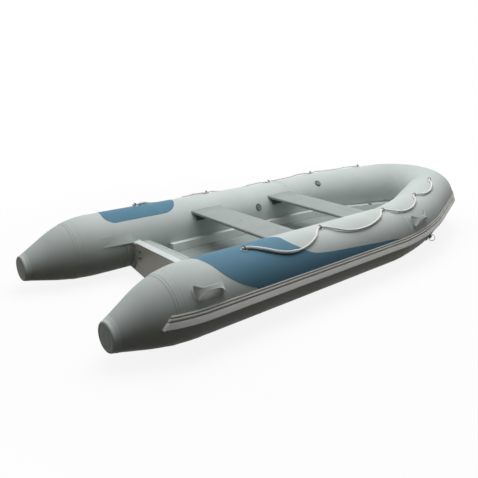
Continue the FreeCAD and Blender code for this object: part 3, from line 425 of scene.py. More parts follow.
def pulled_strap(name, sections):
    """Pull an oval, thin in its middle, through rows of x, height, half width and half depth."""
    x, up, wide, deep = sections[0]
    strap = begin(name, "circle", "VERT", vertices=20, radius=1, location=(x, 0, up),
                  rotation=(0, math.pi / 2, 0))
    scale((1, wide, deep), (x, 0, up))
    pick(strap, lambda co, normal: abs(co.y) < 0.62 * wide, "VERT")
    scale((1, 1, 0.5), (x, 0, up))
    bpy.ops.mesh.select_all(action="SELECT")
    for last, row in zip(sections, sections[1:]):
        extrude_along((row[0] - last[0], 0, row[1] - last[1]))
        scale((1, row[2] / last[2], row[3] / last[3]), (row[0], 0, row[1]))
    bpy.ops.mesh.edge_face_add()
    pick(strap, lambda co, normal: abs(co.x - x) < 1e-5, "VERT")
    bpy.ops.mesh.edge_face_add()
    return close_up(strap)


# %% [markdown]
# ## Ropes
#
# A lifeline is three strands of white polyester laid round each other, 14 mm thick, and runs
# through five holders a side, sagging between them until it rests on the tube. It follows a NURBS
# curve through the frame's own rope points, with three thinner strands wound round it: a smooth
# tube with a printed twist would look flat in the holders.

# %% Route of the starboard rope, port is its mirror image
ROPE_THICK, ROPE_STEP = 0.014, 0.0045
ROPE_ROUTE = [
    (0.3820, 0.6399, 0.4592), (0.4300, 0.6399, 0.4592), (0.5120, 0.7012, 0.4468), (0.5890, 0.7390, 0.4206),
    (0.6800, 0.7618, 0.4031), (0.7780, 0.7649, 0.4004), (0.8830, 0.7490, 0.4135), (0.9740, 0.7201, 0.4378),
    (1.0700, 0.6399, 0.4592), (1.1300, 0.6399, 0.4592), (1.1975, 0.7050, 0.4452), (1.2875, 0.7355, 0.4229),
    (1.3925, 0.7490, 0.4135), (1.4975, 0.7490, 0.4135), (1.6175, 0.7355, 0.4229), (1.7375, 0.7050, 0.4452),
    (1.8200, 0.6399, 0.4592), (1.8800, 0.6399, 0.4592), (1.9285, 0.6973, 0.4487), (2.0286, 0.7221, 0.4366),
    (2.1333, 0.7178, 0.4417), (2.2287, 0.6914, 0.4563), (2.3076, 0.6490, 0.4794), (2.3564, 0.5925, 0.4891),
    (2.4157, 0.5787, 0.4932), (2.4770, 0.6098, 0.4911), (2.5737, 0.5995, 0.4855), (2.6694, 0.5751, 0.4887),
    (2.7636, 0.5350, 0.4987), (2.8419, 0.4852, 0.5177), (2.9022, 0.4206, 0.5269), (2.9475, 0.4051, 0.5301),
]


def route_line(side):
    """The smooth line along one side's rope points."""
    data = bpy.data.curves.new("rope_guide", "CURVE")
    data.dimensions = "3D"
    data.resolution_u = 10
    spline = data.splines.new("NURBS")
    spline.points.add(len(ROPE_ROUTE) - 1)
    for control, (x, y, z) in zip(spline.points, ROPE_ROUTE):
        control.co = (x + STERN_SEAM, side * y, z, 1)
    spline.order_u = 3
    spline.use_endpoint_u = True
    guide = link_item("rope_guide", data)
    mesh = bpy.data.meshes.new_from_object(guide)
    points = [vertex.co.copy() for vertex in mesh.vertices]
    bpy.data.meshes.remove(mesh)
    bpy.data.objects.remove(guide)
    return points


def path_length(points):
    return sum((b - a).length for a, b in zip(points, points[1:]))


def even_points(points, step):
    """The same line with its points a step apart."""
    total = path_length(points)
    count = round(total / step)
    result, walked, index = [points[0]], 0.0, 0
    for number in range(1, count):
        goal = total * number / count
        while walked + (points[index + 1] - points[index]).length < goal:
            walked += (points[index + 1] - points[index]).length
            index += 1
        share = (goal - walked) / (points[index + 1] - points[index]).length
        result.append(points[index].lerp(points[index + 1], share))
    return result + [points[-1]]


def strand_mesh(name, points, strands, strand_radius, offset, pitch, sides):
    """Round strands wound about a line, closed at both ends."""
    frames, walked = [], [0.0]
    across = Vector((0, 0, 1))
    for number, point in enumerate(points):
        ahead = (points[min(number + 1, len(points) - 1)] - points[max(number - 1, 0)]).normalized()
        across = (across - across.dot(ahead) * ahead).normalized()
        frames.append((point, across, ahead.cross(across)))
    for a, b in zip(points, points[1:]):
        walked.append(walked[-1] + (b - a).length)
    mesh = bmesh.new()
    lay = mesh.loops.layers.uv.new("UVMap")
    for strand in range(strands):
        rings = []
        for (point, side_a, side_b), far in zip(frames, walked):
            turn = 2 * math.pi * (far / pitch + strand / strands)
            outward, around = swung(turn, side_a, side_b), swung(turn, side_b, -side_a)
            centre = point + offset * outward
            rings.append([mesh.verts.new(
                centre + strand_radius * swung(2 * math.pi * n / sides, outward, around))
                for n in range(sides)])
        for (ring, start), (following, end) in zip(zip(rings, walked), zip(rings[1:], walked[1:])):
            for n in range(sides):
                m = (n + 1) % sides
                face = mesh.faces.new((ring[n], ring[m], following[m], following[n]))
                for loop, (u, v) in zip(face.loops, ((start, n), (start, n + 1), (end, n + 1), (end, n))):
                    loop[lay].uv = (u * 10, v / sides)
        mesh.faces.new(rings[0][::-1])
        mesh.faces.new(rings[-1])
    data = bpy.data.meshes.new(name)
    mesh.to_mesh(data)
    mesh.free()
    return link_item(name, data)


# %% Rope material: laid polyester, dull white with a soft sheen
rope_polyester, tree, shader, place, grime = clouded(
    "laid_polyester_rope", "#e9e9e4", "#fbfbf8", {"Scale": 14.0, "Detail": 3.0},
    {"Roughness": 0.72, "Sheen Weight": 0.25})
fibres = add_node(tree, "TexWave", {"wave_type": "BANDS", "bands_direction": "Y", "Scale": 9.0,
                                    "Distortion": 2.0, "Detail": 2.0}, Vector=add_node(tree, "UVMap"))
add_relief(tree, shader, (fibres.outputs["Fac"], 0.2, 0.0004))
print("rope points", len(ROPE_ROUTE))

# %% [markdown]
# The rope is spliced back on itself at its first holder, so it is thick along most of that bay.
# The splice is a second, fatter winding over the same line.

# %% Wind the ropes
# A winding: strands, their radius, how far out they lie, their pitch, and the sides of each.
ROPE_WINDING, SPLICE_WINDING = (3, 0.0058, 0.0022, 0.044, 8), (4, 0.0042, 0.0072, 0.052, 6)
SPLICE = slice(4, 88)
for side_name, side in SIDES.items():
    line = even_points(route_line(side), ROPE_STEP)
    rope = strand_mesh(f"lifeline_{side_name}", line, *ROPE_WINDING)
    splice = strand_mesh(f"lifeline_splice_{side_name}", line[SPLICE], *SPLICE_WINDING)
    finish_piece(rope, rope_polyester, 80, f"rope_{side_name}")
    finish_piece(splice, rope_polyester, 80)
    print(rope.name, "length", round(path_length(line), 3), "faces", len(rope.data.polygons))

# %% [markdown]
# ## Tube fabric
#
# The tubes are PVC-coated polyester cloth, calendered to a satin skin. From a few metres the eye
# gets a soft, even grey with a broad highlight; close to, a fine leather grain pressed into the
# coat. The grain is about a millimetre on the real sheet; it is drawn at two, so that it shows.

# %% Coated fabric, in grey and in blue
def coated_fabric(name, dark, pale, roughness):
    material, tree, shader, place, clouds = clouded(
        name, dark, pale, {"Scale": 3.5, "Detail": 4.0, "Roughness": 0.6}, {"Specular IOR Level": 0.05})
    grain = add_node(tree, "TexVoronoi", {"Scale": 500.0}, Vector=place)
    waves = add_node(tree, "TexNoise", {"Scale": 7.0, "Detail": 2.0}, Vector=place)
    add_relief(tree, shader, (grain, 0.10, 0.0004), (waves, 0.12, 0.004))
    scuffs = remap(tree, clouds, 0.3, 0.7, roughness - 0.06, roughness + 0.06)
    plug_in(tree, scuffs, shader.inputs["Roughness"])
    return material


grey_fabric = coated_fabric("coated_fabric_grey", "#bac2bf", "#c3cac7", 0.50)
blue_fabric = coated_fabric("coated_fabric_blue", "#537b90", "#5c8398", 0.46)
seam_tape = coated_fabric("seam_tape_grey", "#bdc5c2", "#c6cdca", 0.44)
print("fabric materials ready")

# %% [markdown]
# ## Side tubes
#
# A side tube is one sheet of fabric rolled round and glued, so it could be a plain cylinder. But
# the seam tapes hold a real one in slightly, and that dip is what the eye reads as inflated. So a
# ring is extruded station by station, and the rings by a seam are drawn in a millimetre.

# %% Extrude the side tubes
RING_SIDES, SIDE_STEPS, SIDE_STEP = 128, 61, 0.0322
SEAM_DEPTH, SEAM_REACH = 0.0010, 0.035


def start_ring(name, place, turn_y=math.pi / 2):
    return begin(name, "circle", "VERT", vertices=RING_SIDES, radius=TUBE_RADIUS, location=place,
                 rotation=(0, turn_y, 0))


def mitre_cut(item, keep_ahead):
    """Cut a tube at the bow seam's plane, half way between the two directions."""
    edit(item)
    normal = (math.cos(BOW_RISE / 2), 0, math.sin(BOW_RISE / 2))
    bpy.ops.mesh.bisect(plane_co=(BOW_SEAM, 0, TUBE_UP), plane_no=normal,
                        clear_inner=keep_ahead, clear_outer=not keep_ahead)
    object_mode()


for side_name, side in SIDES.items():
    tube = start_ring(f"air_tube_{side_name}", (STERN_SEAM, side * TUBE_OUT, TUBE_UP))
    extrude_along((SIDE_STEP, 0, 0), SIDE_STEPS)
    mitre_cut(tube, keep_ahead=False)
    for vertex in tube.data.vertices:
        pinch = sum(math.exp(-((vertex.co.x - seam) / SEAM_REACH) ** 2)
                    for seam in (STERN_SEAM, BOW_SEAM))
        middle = Vector((vertex.co.x, side * TUBE_OUT, TUBE_UP))
        vertex.co = middle + (vertex.co - middle) * (1 - SEAM_DEPTH * min(1.0, pinch) / TUBE_RADIUS)
    finish_piece(close_up(tube), grey_fabric, 60, f"tube_{side_name}")
    print(tube.name, "rings", len(tube.data.vertices) // RING_SIDES)

# %% [markdown]
# ## Bow tube
#
# The bow is one chamber that bends in at each shoulder and sweeps round the stem. The same ring is
# carried along it with two operators: extrude for the straight stretches, and spin for the bends.
# It is drawn level and tipped up at the end, because a spin about an upright axis is easy to
# check.

# %% Spin and extrude the bow tube
OVERRUN, SHOULDER_STEPS, STRAIGHT_STEPS, STEM_STEPS = 0.03, 20, 16, 56


def spin_ring(centre, angle, steps):
    """Turn the selected ring to the left; a spin with no window counts its angle the other way."""
    bpy.ops.mesh.spin(steps=steps, angle=-angle, center=tuple(centre), axis=(0, 0, 1))


bow_tube = start_ring("air_tube_bow", (-2 * OVERRUN, -TUBE_OUT, 0))
extrude_along((OVERRUN, 0, 0), 2)
spin_ring((0, -TUBE_OUT + SHOULDER_RADIUS, 0), SHOULDER_TURN, SHOULDER_STEPS)
extrude_along(BOW_WAY * BOW_STRAIGHT / STRAIGHT_STEPS, STRAIGHT_STEPS)
spin_ring(BOW_CENTRE, math.pi - 2 * SHOULDER_TURN, STEM_STEPS)
extrude_along(Vector((-BOW_WAY.x, BOW_WAY.y, 0)) * BOW_STRAIGHT / STRAIGHT_STEPS, STRAIGHT_STEPS)
spin_ring((0, TUBE_OUT - SHOULDER_RADIUS, 0), SHOULDER_TURN, SHOULDER_STEPS)
extrude_along((-OVERRUN, 0, 0), 2)
object_mode()
settle(bow_tube, BOW_TIP)
mitre_cut(bow_tube, keep_ahead=True)
finish_piece(close_up(bow_tube, 0.0001), grey_fabric, 60, "tube_bow")
print("bow tube faces", len(bow_tube.data.polygons))

# %% [markdown]
# ## Stern cones
#
# Each side tube ends in a cone that leaves the tube in a rounded shoulder, then narrows straight
# to a rubber cap, dropping a little as it goes. Extruding the last ring, then shrinking and
# lowering it, two dozen times follows that curve closely.

# %% Taper the cones
CONE_STEPS = 26
for side_name, side in SIDES.items():
    cone = start_ring(f"air_cone_{side_name}", (STERN_SEAM, side * TUBE_OUT, TUBE_UP), -math.pi / 2)
    last = 0.0
    for step in range(1, CONE_STEPS + 1):
        fall = cone_fall(step / CONE_STEPS)
        shrink = cone_radius(fall) / cone_radius(last)
        extrude_along((-CONE_LENGTH / CONE_STEPS, 0, -CONE_DROP * (fall - last)))
        scale((1, shrink, shrink), (STERN_SEAM - CONE_LENGTH * step / CONE_STEPS, side * TUBE_OUT,
                                    TUBE_UP - CONE_DROP * fall))
        last = fall
    bpy.ops.mesh.edge_face_add()
    finish_piece(close_up(cone), grey_fabric, 60, f"cone_{side_name}")
print("cone end at", round(STERN_SEAM - CONE_LENGTH, 3))

# %% [markdown]
# ## Cone caps
#
# Each cone ends in a moulded rubber cup that is pushed over it and glued: a thin sleeve whose edge
# shows as a fine line, a well rounded rim and a nearly flat end with a faint raised ring. The last
# ring of the cone is carried on with the same extrude and shrink, its radius following a quarter
# circle round the rim.

# %% Draw the rubber caps
cap_rubber = coated_fabric("moulded_rubber_cap", "#c9d1ce", "#d2dad7", 0.5)
CAP_SLEEVE, CAP_WALL, CAP_DEPTH, CAP_ROUND, ROUND_STEPS = 0.026, 0.0015, 0.014, 0.0135, 8
CAP_FACE = ((0, 0.066), (-0.0016, 0.0635), (-0.0016, 0.060), (-0.0004, 0.0575), (0, 0.040), (0, 0.012))


def cap_profile():
    """Distances aft of the cone's end, with the radius there, from the sleeve's edge to the middle."""
    grow = (TUBE_RADIUS - CONE_END) / (CONE_LENGTH * CONE_SHARE)
    outer = CONE_END + CAP_WALL
    rows = [(-CAP_SLEEVE, CONE_END - 0.001 + grow * CAP_SLEEVE), (-CAP_SLEEVE, outer + grow * CAP_SLEEVE),
            (-CAP_SLEEVE / 2, outer + grow * CAP_SLEEVE / 2), (0.0, outer)]
    for step in range(1, ROUND_STEPS + 1):
        bearing = math.pi / 2 * step / ROUND_STEPS
        rows.append((CAP_DEPTH - CAP_ROUND + CAP_ROUND * math.sin(bearing),
                     outer - CAP_ROUND * (1 - math.cos(bearing))))
    return rows + [(CAP_DEPTH + back, across) for back, across in CAP_FACE]


def cap_centre(side, far):
    """Middle of the cap's ring, this far aft of the cone's end; the sleeve leans with the cone."""
    lean = CONE_DROP / (CONE_LENGTH * CONE_SHARE)
    return (STERN_SEAM - CONE_LENGTH - far, side * TUBE_OUT, TUBE_UP - CONE_DROP - lean * min(far, 0.0))


rows = cap_profile()
for side_name, side in SIDES.items():
    cup = begin(f"cone_end_cap_{side_name}", "circle", "VERT", vertices=96, radius=rows[0][1],
                rotation=(0, -math.pi / 2, 0), location=cap_centre(side, rows[0][0]))
    for (last_far, last_size), (far, across) in zip(rows, rows[1:]):
        centre = Vector(cap_centre(side, far))
        extrude_along(centre - Vector(cap_centre(side, last_far)))
        scale((1, across / last_size, across / last_size), centre)
    bpy.ops.mesh.edge_face_add()
    finish_piece(close_up(cup), cap_rubber, 40, f"cone_cap_{side_name}")
print("cap end at", round(STERN_SEAM - CONE_LENGTH - CAP_DEPTH, 4))

# %% [markdown]
# ## Seam tapes
#
# Where two chambers meet, a broad tape is glued over the joint and a narrow one over that. Each
# edge shows as a fine line, because the glue under it is squeezed out a little and darkens. So
# each tape is a strip with a slightly wider strip of glue beneath it.

# %% Tapes round the tubes
seam_glue = coated_fabric("seam_glue_line", "#a7aeac", "#aeb5b3", 0.6)
TAPES = {"stern_seam": (-0.178, 0.050, 0.018), "bow_seam": (2.000, 0.036, 0.0)}
for side_name, side in SIDES.items():
    for place, (distance, broad, narrow) in TAPES.items():
        layers = [("glue", broad + 0.005, 0.0004, seam_glue), ("tape", broad, 0.0010, seam_tape)]
        if narrow:
            layers += [("upper_glue", narrow + 0.004, 0.0012, seam_glue),
                       ("upper_tape", narrow, 0.0018, seam_tape)]
        for layer, width, thick, material in layers:
            strip = lay_on_tube(flat_tape(f"{place}_{layer}_{side_name}", width, thick), distance, 0, side)
            finish_piece(strip, material)
    print("tapes on", side_name)

# %% [markdown]
# ## Grab handles
#
# A handle is one moulded rubber strap: broad feet like fish tails, glued to a round-ended patch,
# and a narrow waist that arches clear of the tube so that a hand fits under it. An oval is pulled
# from one foot to the other, made narrower and lifted on the way, and the feet's corners curl up.

# %% Handles and their patches
pale_rubber = coated_fabric("moulded_rubber_pale", "#c8d0cd", "#d2d9d6", 0.42)
STRAP_HALF, STRAP_FOOT, STRAP_WAIST, STRAP_RISE, STRAP_CURL = 0.095, 0.042, 0.0115, 0.037, 0.015
STRAP_STEPS, STRAP_ARCH, PATCH_HALF, HANDLE_ANGLE = 12, 0.97, 0.060, 34
HANDLES = {"stern": 0.010, "bow": BOW_SEAM - STERN_SEAM + 0.208}
PATCHES = (("glue", 0.0515, 0.0006, seam_glue), ("patch", 0.050, 0.0013, seam_tape))


def strap_width(reach):
    return STRAP_WAIST + (STRAP_FOOT - STRAP_WAIST) * reach ** 3.4


def strap_sections():
    for step in range(-STRAP_STEPS, STRAP_STEPS + 1):
        reach = abs(step / STRAP_STEPS)
        arch = math.cos(math.pi / 2 * reach / STRAP_ARCH) ** 0.5 if reach < STRAP_ARCH else 0.0
        yield (STRAP_HALF * step / STRAP_STEPS, 0.0048 + STRAP_RISE * arch, strap_width(reach),
               0.0062 - 0.0022 * reach)


for place, distance in HANDLES.items():
    for side_name, side in SIDES.items():
        for layer, radius, thick, material in PATCHES:
            patch = flat_patch(f"handle_{layer}_{place}_{side_name}", PATCH_HALF, radius, thick)
            finish_piece(lay_on_tube(patch, distance, HANDLE_ANGLE, side), material)
        strap = pulled_strap(f"grab_handle_{place}_{side_name}", list(strap_sections()))
        for vertex in strap.data.vertices:
            reach = min(1.0, abs(vertex.co.x) / STRAP_HALF)
            vertex.co.z += STRAP_CURL * reach ** 3 * (vertex.co.y / strap_width(reach)) ** 4
        lay_on_tube(strap, distance, HANDLE_ANGLE, side)
        finish_piece(strap, pale_rubber, 50, f"handle_{place}_{side_name}")
print("handles", len(HANDLES) * len(SIDES))

# %% [markdown]
# ## Coloured panels
#
# The blue panels are a second skin of the same cloth, cut to a sweeping outline and glued over the
# side tubes. The frame already has their outline, so its mesh is copied, and a small bevel gives
# the cut edge the soft lip of glued cloth. Its lower edge is let down behind the strake, and its
# forward tip is drawn out. The frame's mesh has few points across the panel, so the shading is
# told that the cloth is as round as the tube.

# %% Panels with a soft cut edge
FRAME_MERGE = 0.00002
PANEL_TIP, PANEL_TIP_RUN, PANEL_EDGE, PANEL_LOW = 0.004, 0.070, 0.0545, 0.0405
for side_name, side in SIDES.items():
    panel = close_up(copy_piece(nodes[f"panel_{side_name}"], f"blue_panel_{side_name}"), FRAME_MERGE)
    tip_end = max(vertex.co.x for vertex in panel.data.vertices)
    for vertex in panel.data.vertices:
        out, up = side * vertex.co.y - TUBE_OUT, vertex.co.z - TUBE_UP
        if out > 0 and up < PANEL_EDGE:
            skin = math.hypot(out, up)
            vertex.co.z = TUBE_UP + PANEL_LOW
            vertex.co.y = side * (TUBE_OUT + math.sqrt(skin ** 2 - PANEL_LOW ** 2))
            if tip_end - vertex.co.x < PANEL_TIP:
                vertex.co.x += PANEL_TIP_RUN
    soften(panel, 0.0004, 60)
    finish_piece(panel, blue_fabric, 40, f"panel_{side_name}")
    corner_normals = []
    for face in panel.data.polygons:
        for corner in face.vertices:
            co = panel.data.vertices[corner].co
            radial = Vector((0, co.y - side * TUBE_OUT, co.z - TUBE_UP)).normalized()
            corner_normals.append(radial if face.normal.dot(radial) > 0.9 else face.normal.copy())
    panel.data.normals_split_custom_set(corner_normals)
    print(panel.name, "faces", len(panel.data.polygons))

# %% [markdown]
# ## Rope holders
#
# Each holder is a pale rubber button glued to the tube, with a dark nylon eye that the rope passes
# through. The button is a disc raised in two steps, with its edges rolled over; the eye is a small
# circle spun into a ring. It is modelled once, flat, and a copy is set on the tube at each
# station.

# %% One rope holder, then ten
dark_nylon = coated_fabric("moulded_nylon_dark", "#565d5c", "#626968", 0.42)
eye_nylon = coated_fabric("moulded_nylon_eye", "#6f7674", "#7b8280", 0.42)
HOLDER_STATIONS = (0.400, 1.100, 1.850, 2.400, 2.970)
HOLDER_ANGLE = 82


def disc_stack(name, radius, low, steps, sides=48):
    """A turned form: start disc at the low height, then pairs of inset and rise."""
    disc = begin(name, "circle", vertices=sides, radius=radius, fill_type="NGON", location=(0, 0, low))
    for inset, rise in steps:
        if inset:
            bpy.ops.mesh.inset(thickness=inset)
        if rise:
            extrude_along((0, 0, rise))
    return close_up(disc)


def spun_ring(name, radius, rod, middle, steps=36, sides=12):
    """A ring about the X direction, with its middle at this height."""
    ring = begin(name, "circle", "VERT", vertices=sides, radius=rod, location=(0, 0, middle + radius),
                 rotation=(0, math.pi / 2, math.pi / 2))
    bpy.ops.mesh.spin(steps=steps, angle=2 * math.pi, center=(0, 0, middle), axis=(1, 0, 0))
    return close_up(ring, 0.00005)


button = disc_stack("rope_button", 0.022, -0.003, (
    (0, 0.0055), (0.0012, 0.0010), (0.0080, 0.0012), (0.0020, 0.0014), (0.008, 0)))
soften(button, 0.0005, 25)
eye_ring = spun_ring("rope_eye", 0.0118, 0.0032, 0.0132)
for side_name, side in SIDES.items():
    for number, distance in enumerate(HOLDER_STATIONS, start=1):
        seat = tube_seat(distance, HOLDER_ANGLE, side)
        base = copy_piece(button, f"rope_button_{side_name}_{number}", seat)
        node = f"rope_holders_{side_name}" if number == 1 else None
        finish_piece(base, pale_rubber, node=node)
        eye = copy_piece(eye_ring, f"rope_eye_{side_name}_{number}", seat)
        finish_piece(eye, eye_nylon, 60)
for item in (button, eye_ring):
    bpy.data.objects.remove(item)
print("rope holders", 2 * len(HOLDER_STATIONS))

# %% [markdown]
# ## Inflation valves
#
# A valve has a broad flange moulded into the fabric, a dark groove where the cap sits down, and a
# cap with eight finger scallops and a bar across it. The scallops are every second face of the
# cap's wall, pushed in; that reads as a grip at any distance.

# %% One valve, then four
valve_grey = coated_fabric("moulded_valve_grey", "#8d9593", "#979f9d", 0.4)
VALVES = {"aft": (1.504, 157), "fore": (2.360, 131.5)}
BAR_SIZE, BAR_UP = (0.030, 0.0050, 0.0034), 0.0066


def on_scallop(co, normal):
    sector = int((math.atan2(co.y, co.x) + math.pi) / (math.pi / 8))
    return abs(normal.z) < 0.3 and co.z < 0.006 and sector % 2 == 0


flange = disc_stack("valve_flange", 0.031, -0.006, (
    (0, 0.0085), (0.0016, 0.0015), (0.0030, 0.0008), (0.0012, -0.0060), (0.02, 0)))
cap = disc_stack("valve_cap", 0.0215, 0.0005, (
    (0, 0.0070), (0.0010, 0.0010), (0.0050, -0.0022), (0.013, 0)), 32)
pick(cap, on_scallop)
scale((0.9, 0.9, 1))
bar = begin("valve_bar", "cube", size=1, location=(0, 0, BAR_UP))
scale(BAR_SIZE, (0, 0, BAR_UP))
apply_modifier(bar, "BEVEL", width=0.0009, segments=2)
for place, (distance, angle) in VALVES.items():
    for side_name, side in SIDES.items():
        seat = tube_seat(distance, angle, side)
        for part, material, node in ((flange, dark_nylon, f"valve_{place}_{side_name}"),
                                     (cap, valve_grey, None), (bar, dark_nylon, None)):
            piece = copy_piece(part, f"{part.name}_{place}_{side_name}", seat)
            finish_piece(piece, material, 30, node)
for item in (flange, cap, bar):
    bpy.data.objects.remove(item)
print("valves", len(VALVES) * len(SIDES))

# %% [markdown]
# ## Finishes of the frame's rigid pieces
#
# Moulded laminate, rubber extrusion, board and steel keep the shapes the frame gives them, so each
# only needs its material. What sets them apart is how they were made: gelcoat comes off a polished
# mould with a clear gloss, rubber is pressed dull, and board is brushed with paint. Lengthwise
# flutes give a wet foot grip on the deck, and catch the light as fine bright lines.

# %% Gelcoat, rubber, board and metal
def gelcoat(name, dark, pale, roughness, coat, flutes=0.0):
    """Polished mould finish: even colour, clear gloss, a faint ripple from the cloth beneath."""
    material, tree, shader, place, clouds = clouded(name, dark, pale, {"Scale": 5.0, "Detail": 3.0}, {
        "Roughness": roughness, "Coat Weight": coat, "Coat Roughness": 0.12})
    layers = [(add_node(tree, "TexNoise", {"Scale": 30.0, "Detail": 1.0}, Vector=place), 0.05, 0.002)]
    if flutes:
        wave = add_node(tree, "TexWave", {"wave_type": "BANDS", "bands_direction": "Y", "Scale": 5.2,
                                          "wave_profile": "SIN"}, Vector=place)
        layers.append((wave.outputs["Fac"], flutes, 0.006))
    add_relief(tree, shader, *layers)
    return material


def plain_skin(name, dark, pale, roughness, grain_mm, depth, metallic=0.0):
    """Even material with a slight drift in tone and a fine pressed or brushed grain."""
    material, tree, shader, place, clouds = clouded(name, dark, pale, {"Scale": 9.0, "Detail": 4.0}, {
        "Roughness": roughness, "Metallic": metallic})
    grain = add_node(tree, "TexNoise", {"Scale": 1000.0 / grain_mm, "Detail": 2.0}, Vector=place)
    add_relief(tree, shader, (grain, 0.3, depth))
    return material


strake_rubber = plain_skin("extruded_rubber_strake", "#eeeeeb", "#f7f7f4", 0.5, 3.0, 0.0003)
shelf_paint = plain_skin("painted_transom_shelf", "#a4adaa", "#aeb7b4", 0.42, 6.0, 0.0003)
stainless = plain_skin("polished_stainless_steel", "#a6a9a9", "#b3b6b6", 0.25, 1.5, 0.0001, 1.0)
FINISHES = {
    # The hull's grey gelcoat is tinted warm: the tint is painted bounce light from the ground.
    "hull": gelcoat("gelcoat_hull", "#aca797", "#b5b0a0", 0.5, 0.0),
    # The deck side's pale colour is a painted highlight on the shoulder; the deck's darker grey is partly
    # painted shade of the floor between the tubes.
    "deck_side_": gelcoat("gelcoat_deck_side", "#dfe5e2", "#e9efec", 0.3, 0.4),
    "deck": gelcoat("gelcoat_deck", "#8b9491", "#969f9c", 0.34, 0.2, flutes=0.5),
    "transom_bracket_": seam_tape,
    "transom_cap": plain_skin("anodised_aluminium_cap", "#c9d0cf", "#d5dbda", 0.34, 2.0, 0.0001),
    "transom_shelf": shelf_paint,
    "transom": gelcoat("gelcoat_transom", "#e2dfd6", "#eae7de", 0.45, 0.1),
    # The stern eyes' steel is far darker than the tow rings': painted shade on the transom's aft face.
    "stern_eye_": plain_skin("weathered_stainless_steel", "#5d6060", "#6b6e6e", 0.4, 1.5, 0.0001, 1.0),
    "bench_bracket_": plain_skin("moulded_rubber_dark", "#2f3331", "#3a3e3c", 0.6, 3.0, 0.0003),
    "bench_": plain_skin("painted_bench_board", "#828b89", "#8c9593", 0.42, 6.0, 0.0003),
    "ring_patch_": pale_rubber,
    "tow_ring_": stainless,
}
for name, item in nodes.items():
    matches = [material for start, material in FINISHES.items() if name.startswith(start)]
    if matches:
        dress(item, matches[0])
print("finishes", len(FINISHES))

# %% [markdown]
# ## Rubbing strake
#
# The strake is extruded rubber, bent round the boat and glued on at the tube's widest line. Its
# section does the work: a broad band that leans back a little and catches the light, a narrow
# groove, one rib, a shallow groove and a thin upper lip. A section swept along a bent path is what
# the real piece is, so the rings are placed along the tube and joined. The tail is cut off at a
# slant, so there each point of the ring is shifted by its height.

# %% Sweep the strake's section along the tube
STRAKE_SECTION = (
    (-0.0200, -0.0255), (0.0180, -0.0255), (0.0228, -0.0247), (0.0262, -0.0225), (0.0270, -0.0195),
    (0.0215, -0.0060), (0.0160, 0.0080), (0.0146, 0.0104), (0.0118, 0.0118), (0.0070, 0.0122),
    (0.0062, 0.0150), (0.0064, 0.0188), (0.0108, 0.0196), (0.0128, 0.0216), (0.0126, 0.0262),
    (0.0108, 0.0292), (0.0074, 0.0304), (0.0048, 0.0312), (0.0040, 0.0345), (0.0052, 0.0366),
    (0.0072, 0.0382), (0.0068, 0.0408), (0.0038, 0.0430), (-0.0008, 0.0436), (-0.0200, 0.0436))
STRAKE_TAIL, STRAKE_SLANT = 0.290, math.tan(math.radians(37))
TAIL_STEPS, SLANT_STEPS, STRAKE_SIDE_STEPS, STRAKE_BOW_STEPS = 20, 5, 24, 56


def strake_ring(distance, side, slanted=0.0, tilt=0.0):
    """The section across the tube; tilt leans it to the mitre between side and bow."""
    ring = []
    for across, up in STRAKE_SECTION:
        far = distance + slanted * STRAKE_SLANT * (up - STRAKE_SECTION[0][1])
        point, forward, outward, upward = centreline(far)
        size, sunk = tube_size(far)
        skin = math.sqrt(size ** 2 - sunk ** 2)
        spot = point + (skin + across) * outward + (up + sunk) * upward - tilt * up * forward
        ring.append(Vector((spot.x, side * abs(spot.y), spot.z)))
    return ring


def swept_strake(name, rings, node):
    """Join the rings to a closed run of strake."""
    count, last = len(STRAKE_SECTION), (len(rings) - 1) * len(STRAKE_SECTION)
    faces = [(a + n, a + (n + 1) % count, a + count + (n + 1) % count, a + count + n)
             for a in range(0, last, count) for n in range(count)]
    faces += [tuple(reversed(range(count))), tuple(range(last, last + count))]
    data = bpy.data.meshes.new(name)
    data.from_pydata([tuple(spot) for ring in rings for spot in ring], [], faces)
    data.update()
    finish_piece(close_up(link_item(name, data)), strake_rubber, 32, node)
    print(name, "faces", len(data.polygons))


seam_at = BOW_SEAM - STERN_SEAM
mitre = math.tan(BOW_RISE / 2)
for side_name, side in SIDES.items():
    rings = [strake_ring(STRAKE_TAIL * (step / TAIL_STEPS - 1), side, max(0.0, 1 - step / SLANT_STEPS))
             for step in range(TAIL_STEPS + 1)]
    rings += [strake_ring(seam_at * step / STRAKE_SIDE_STEPS, side)
              for step in range(1, STRAKE_SIDE_STEPS)]
    rings.append(strake_ring(seam_at, side, tilt=mitre))
    swept_strake(f"rubbing_strake_{side_name}", rings, f"strake_{side_name}")
bow_half = SHOULDER_RADIUS * SHOULDER_TURN + BOW_STRAIGHT + BOW_RADIUS * (math.pi / 2 - SHOULDER_TURN)
half_run = [(seam_at + 0.0001 + bow_half * step / STRAKE_BOW_STEPS, 0.0 if step else -mitre)
            for step in range(STRAKE_BOW_STEPS + 1)]
rings = [strake_ring(far, STARBOARD, tilt=lean) for far, lean in half_run]
rings += [strake_ring(far, PORT, tilt=lean) for far, lean in reversed(half_run[:-1])]
swept_strake("rubbing_strake_bow", rings, "strake_bow")
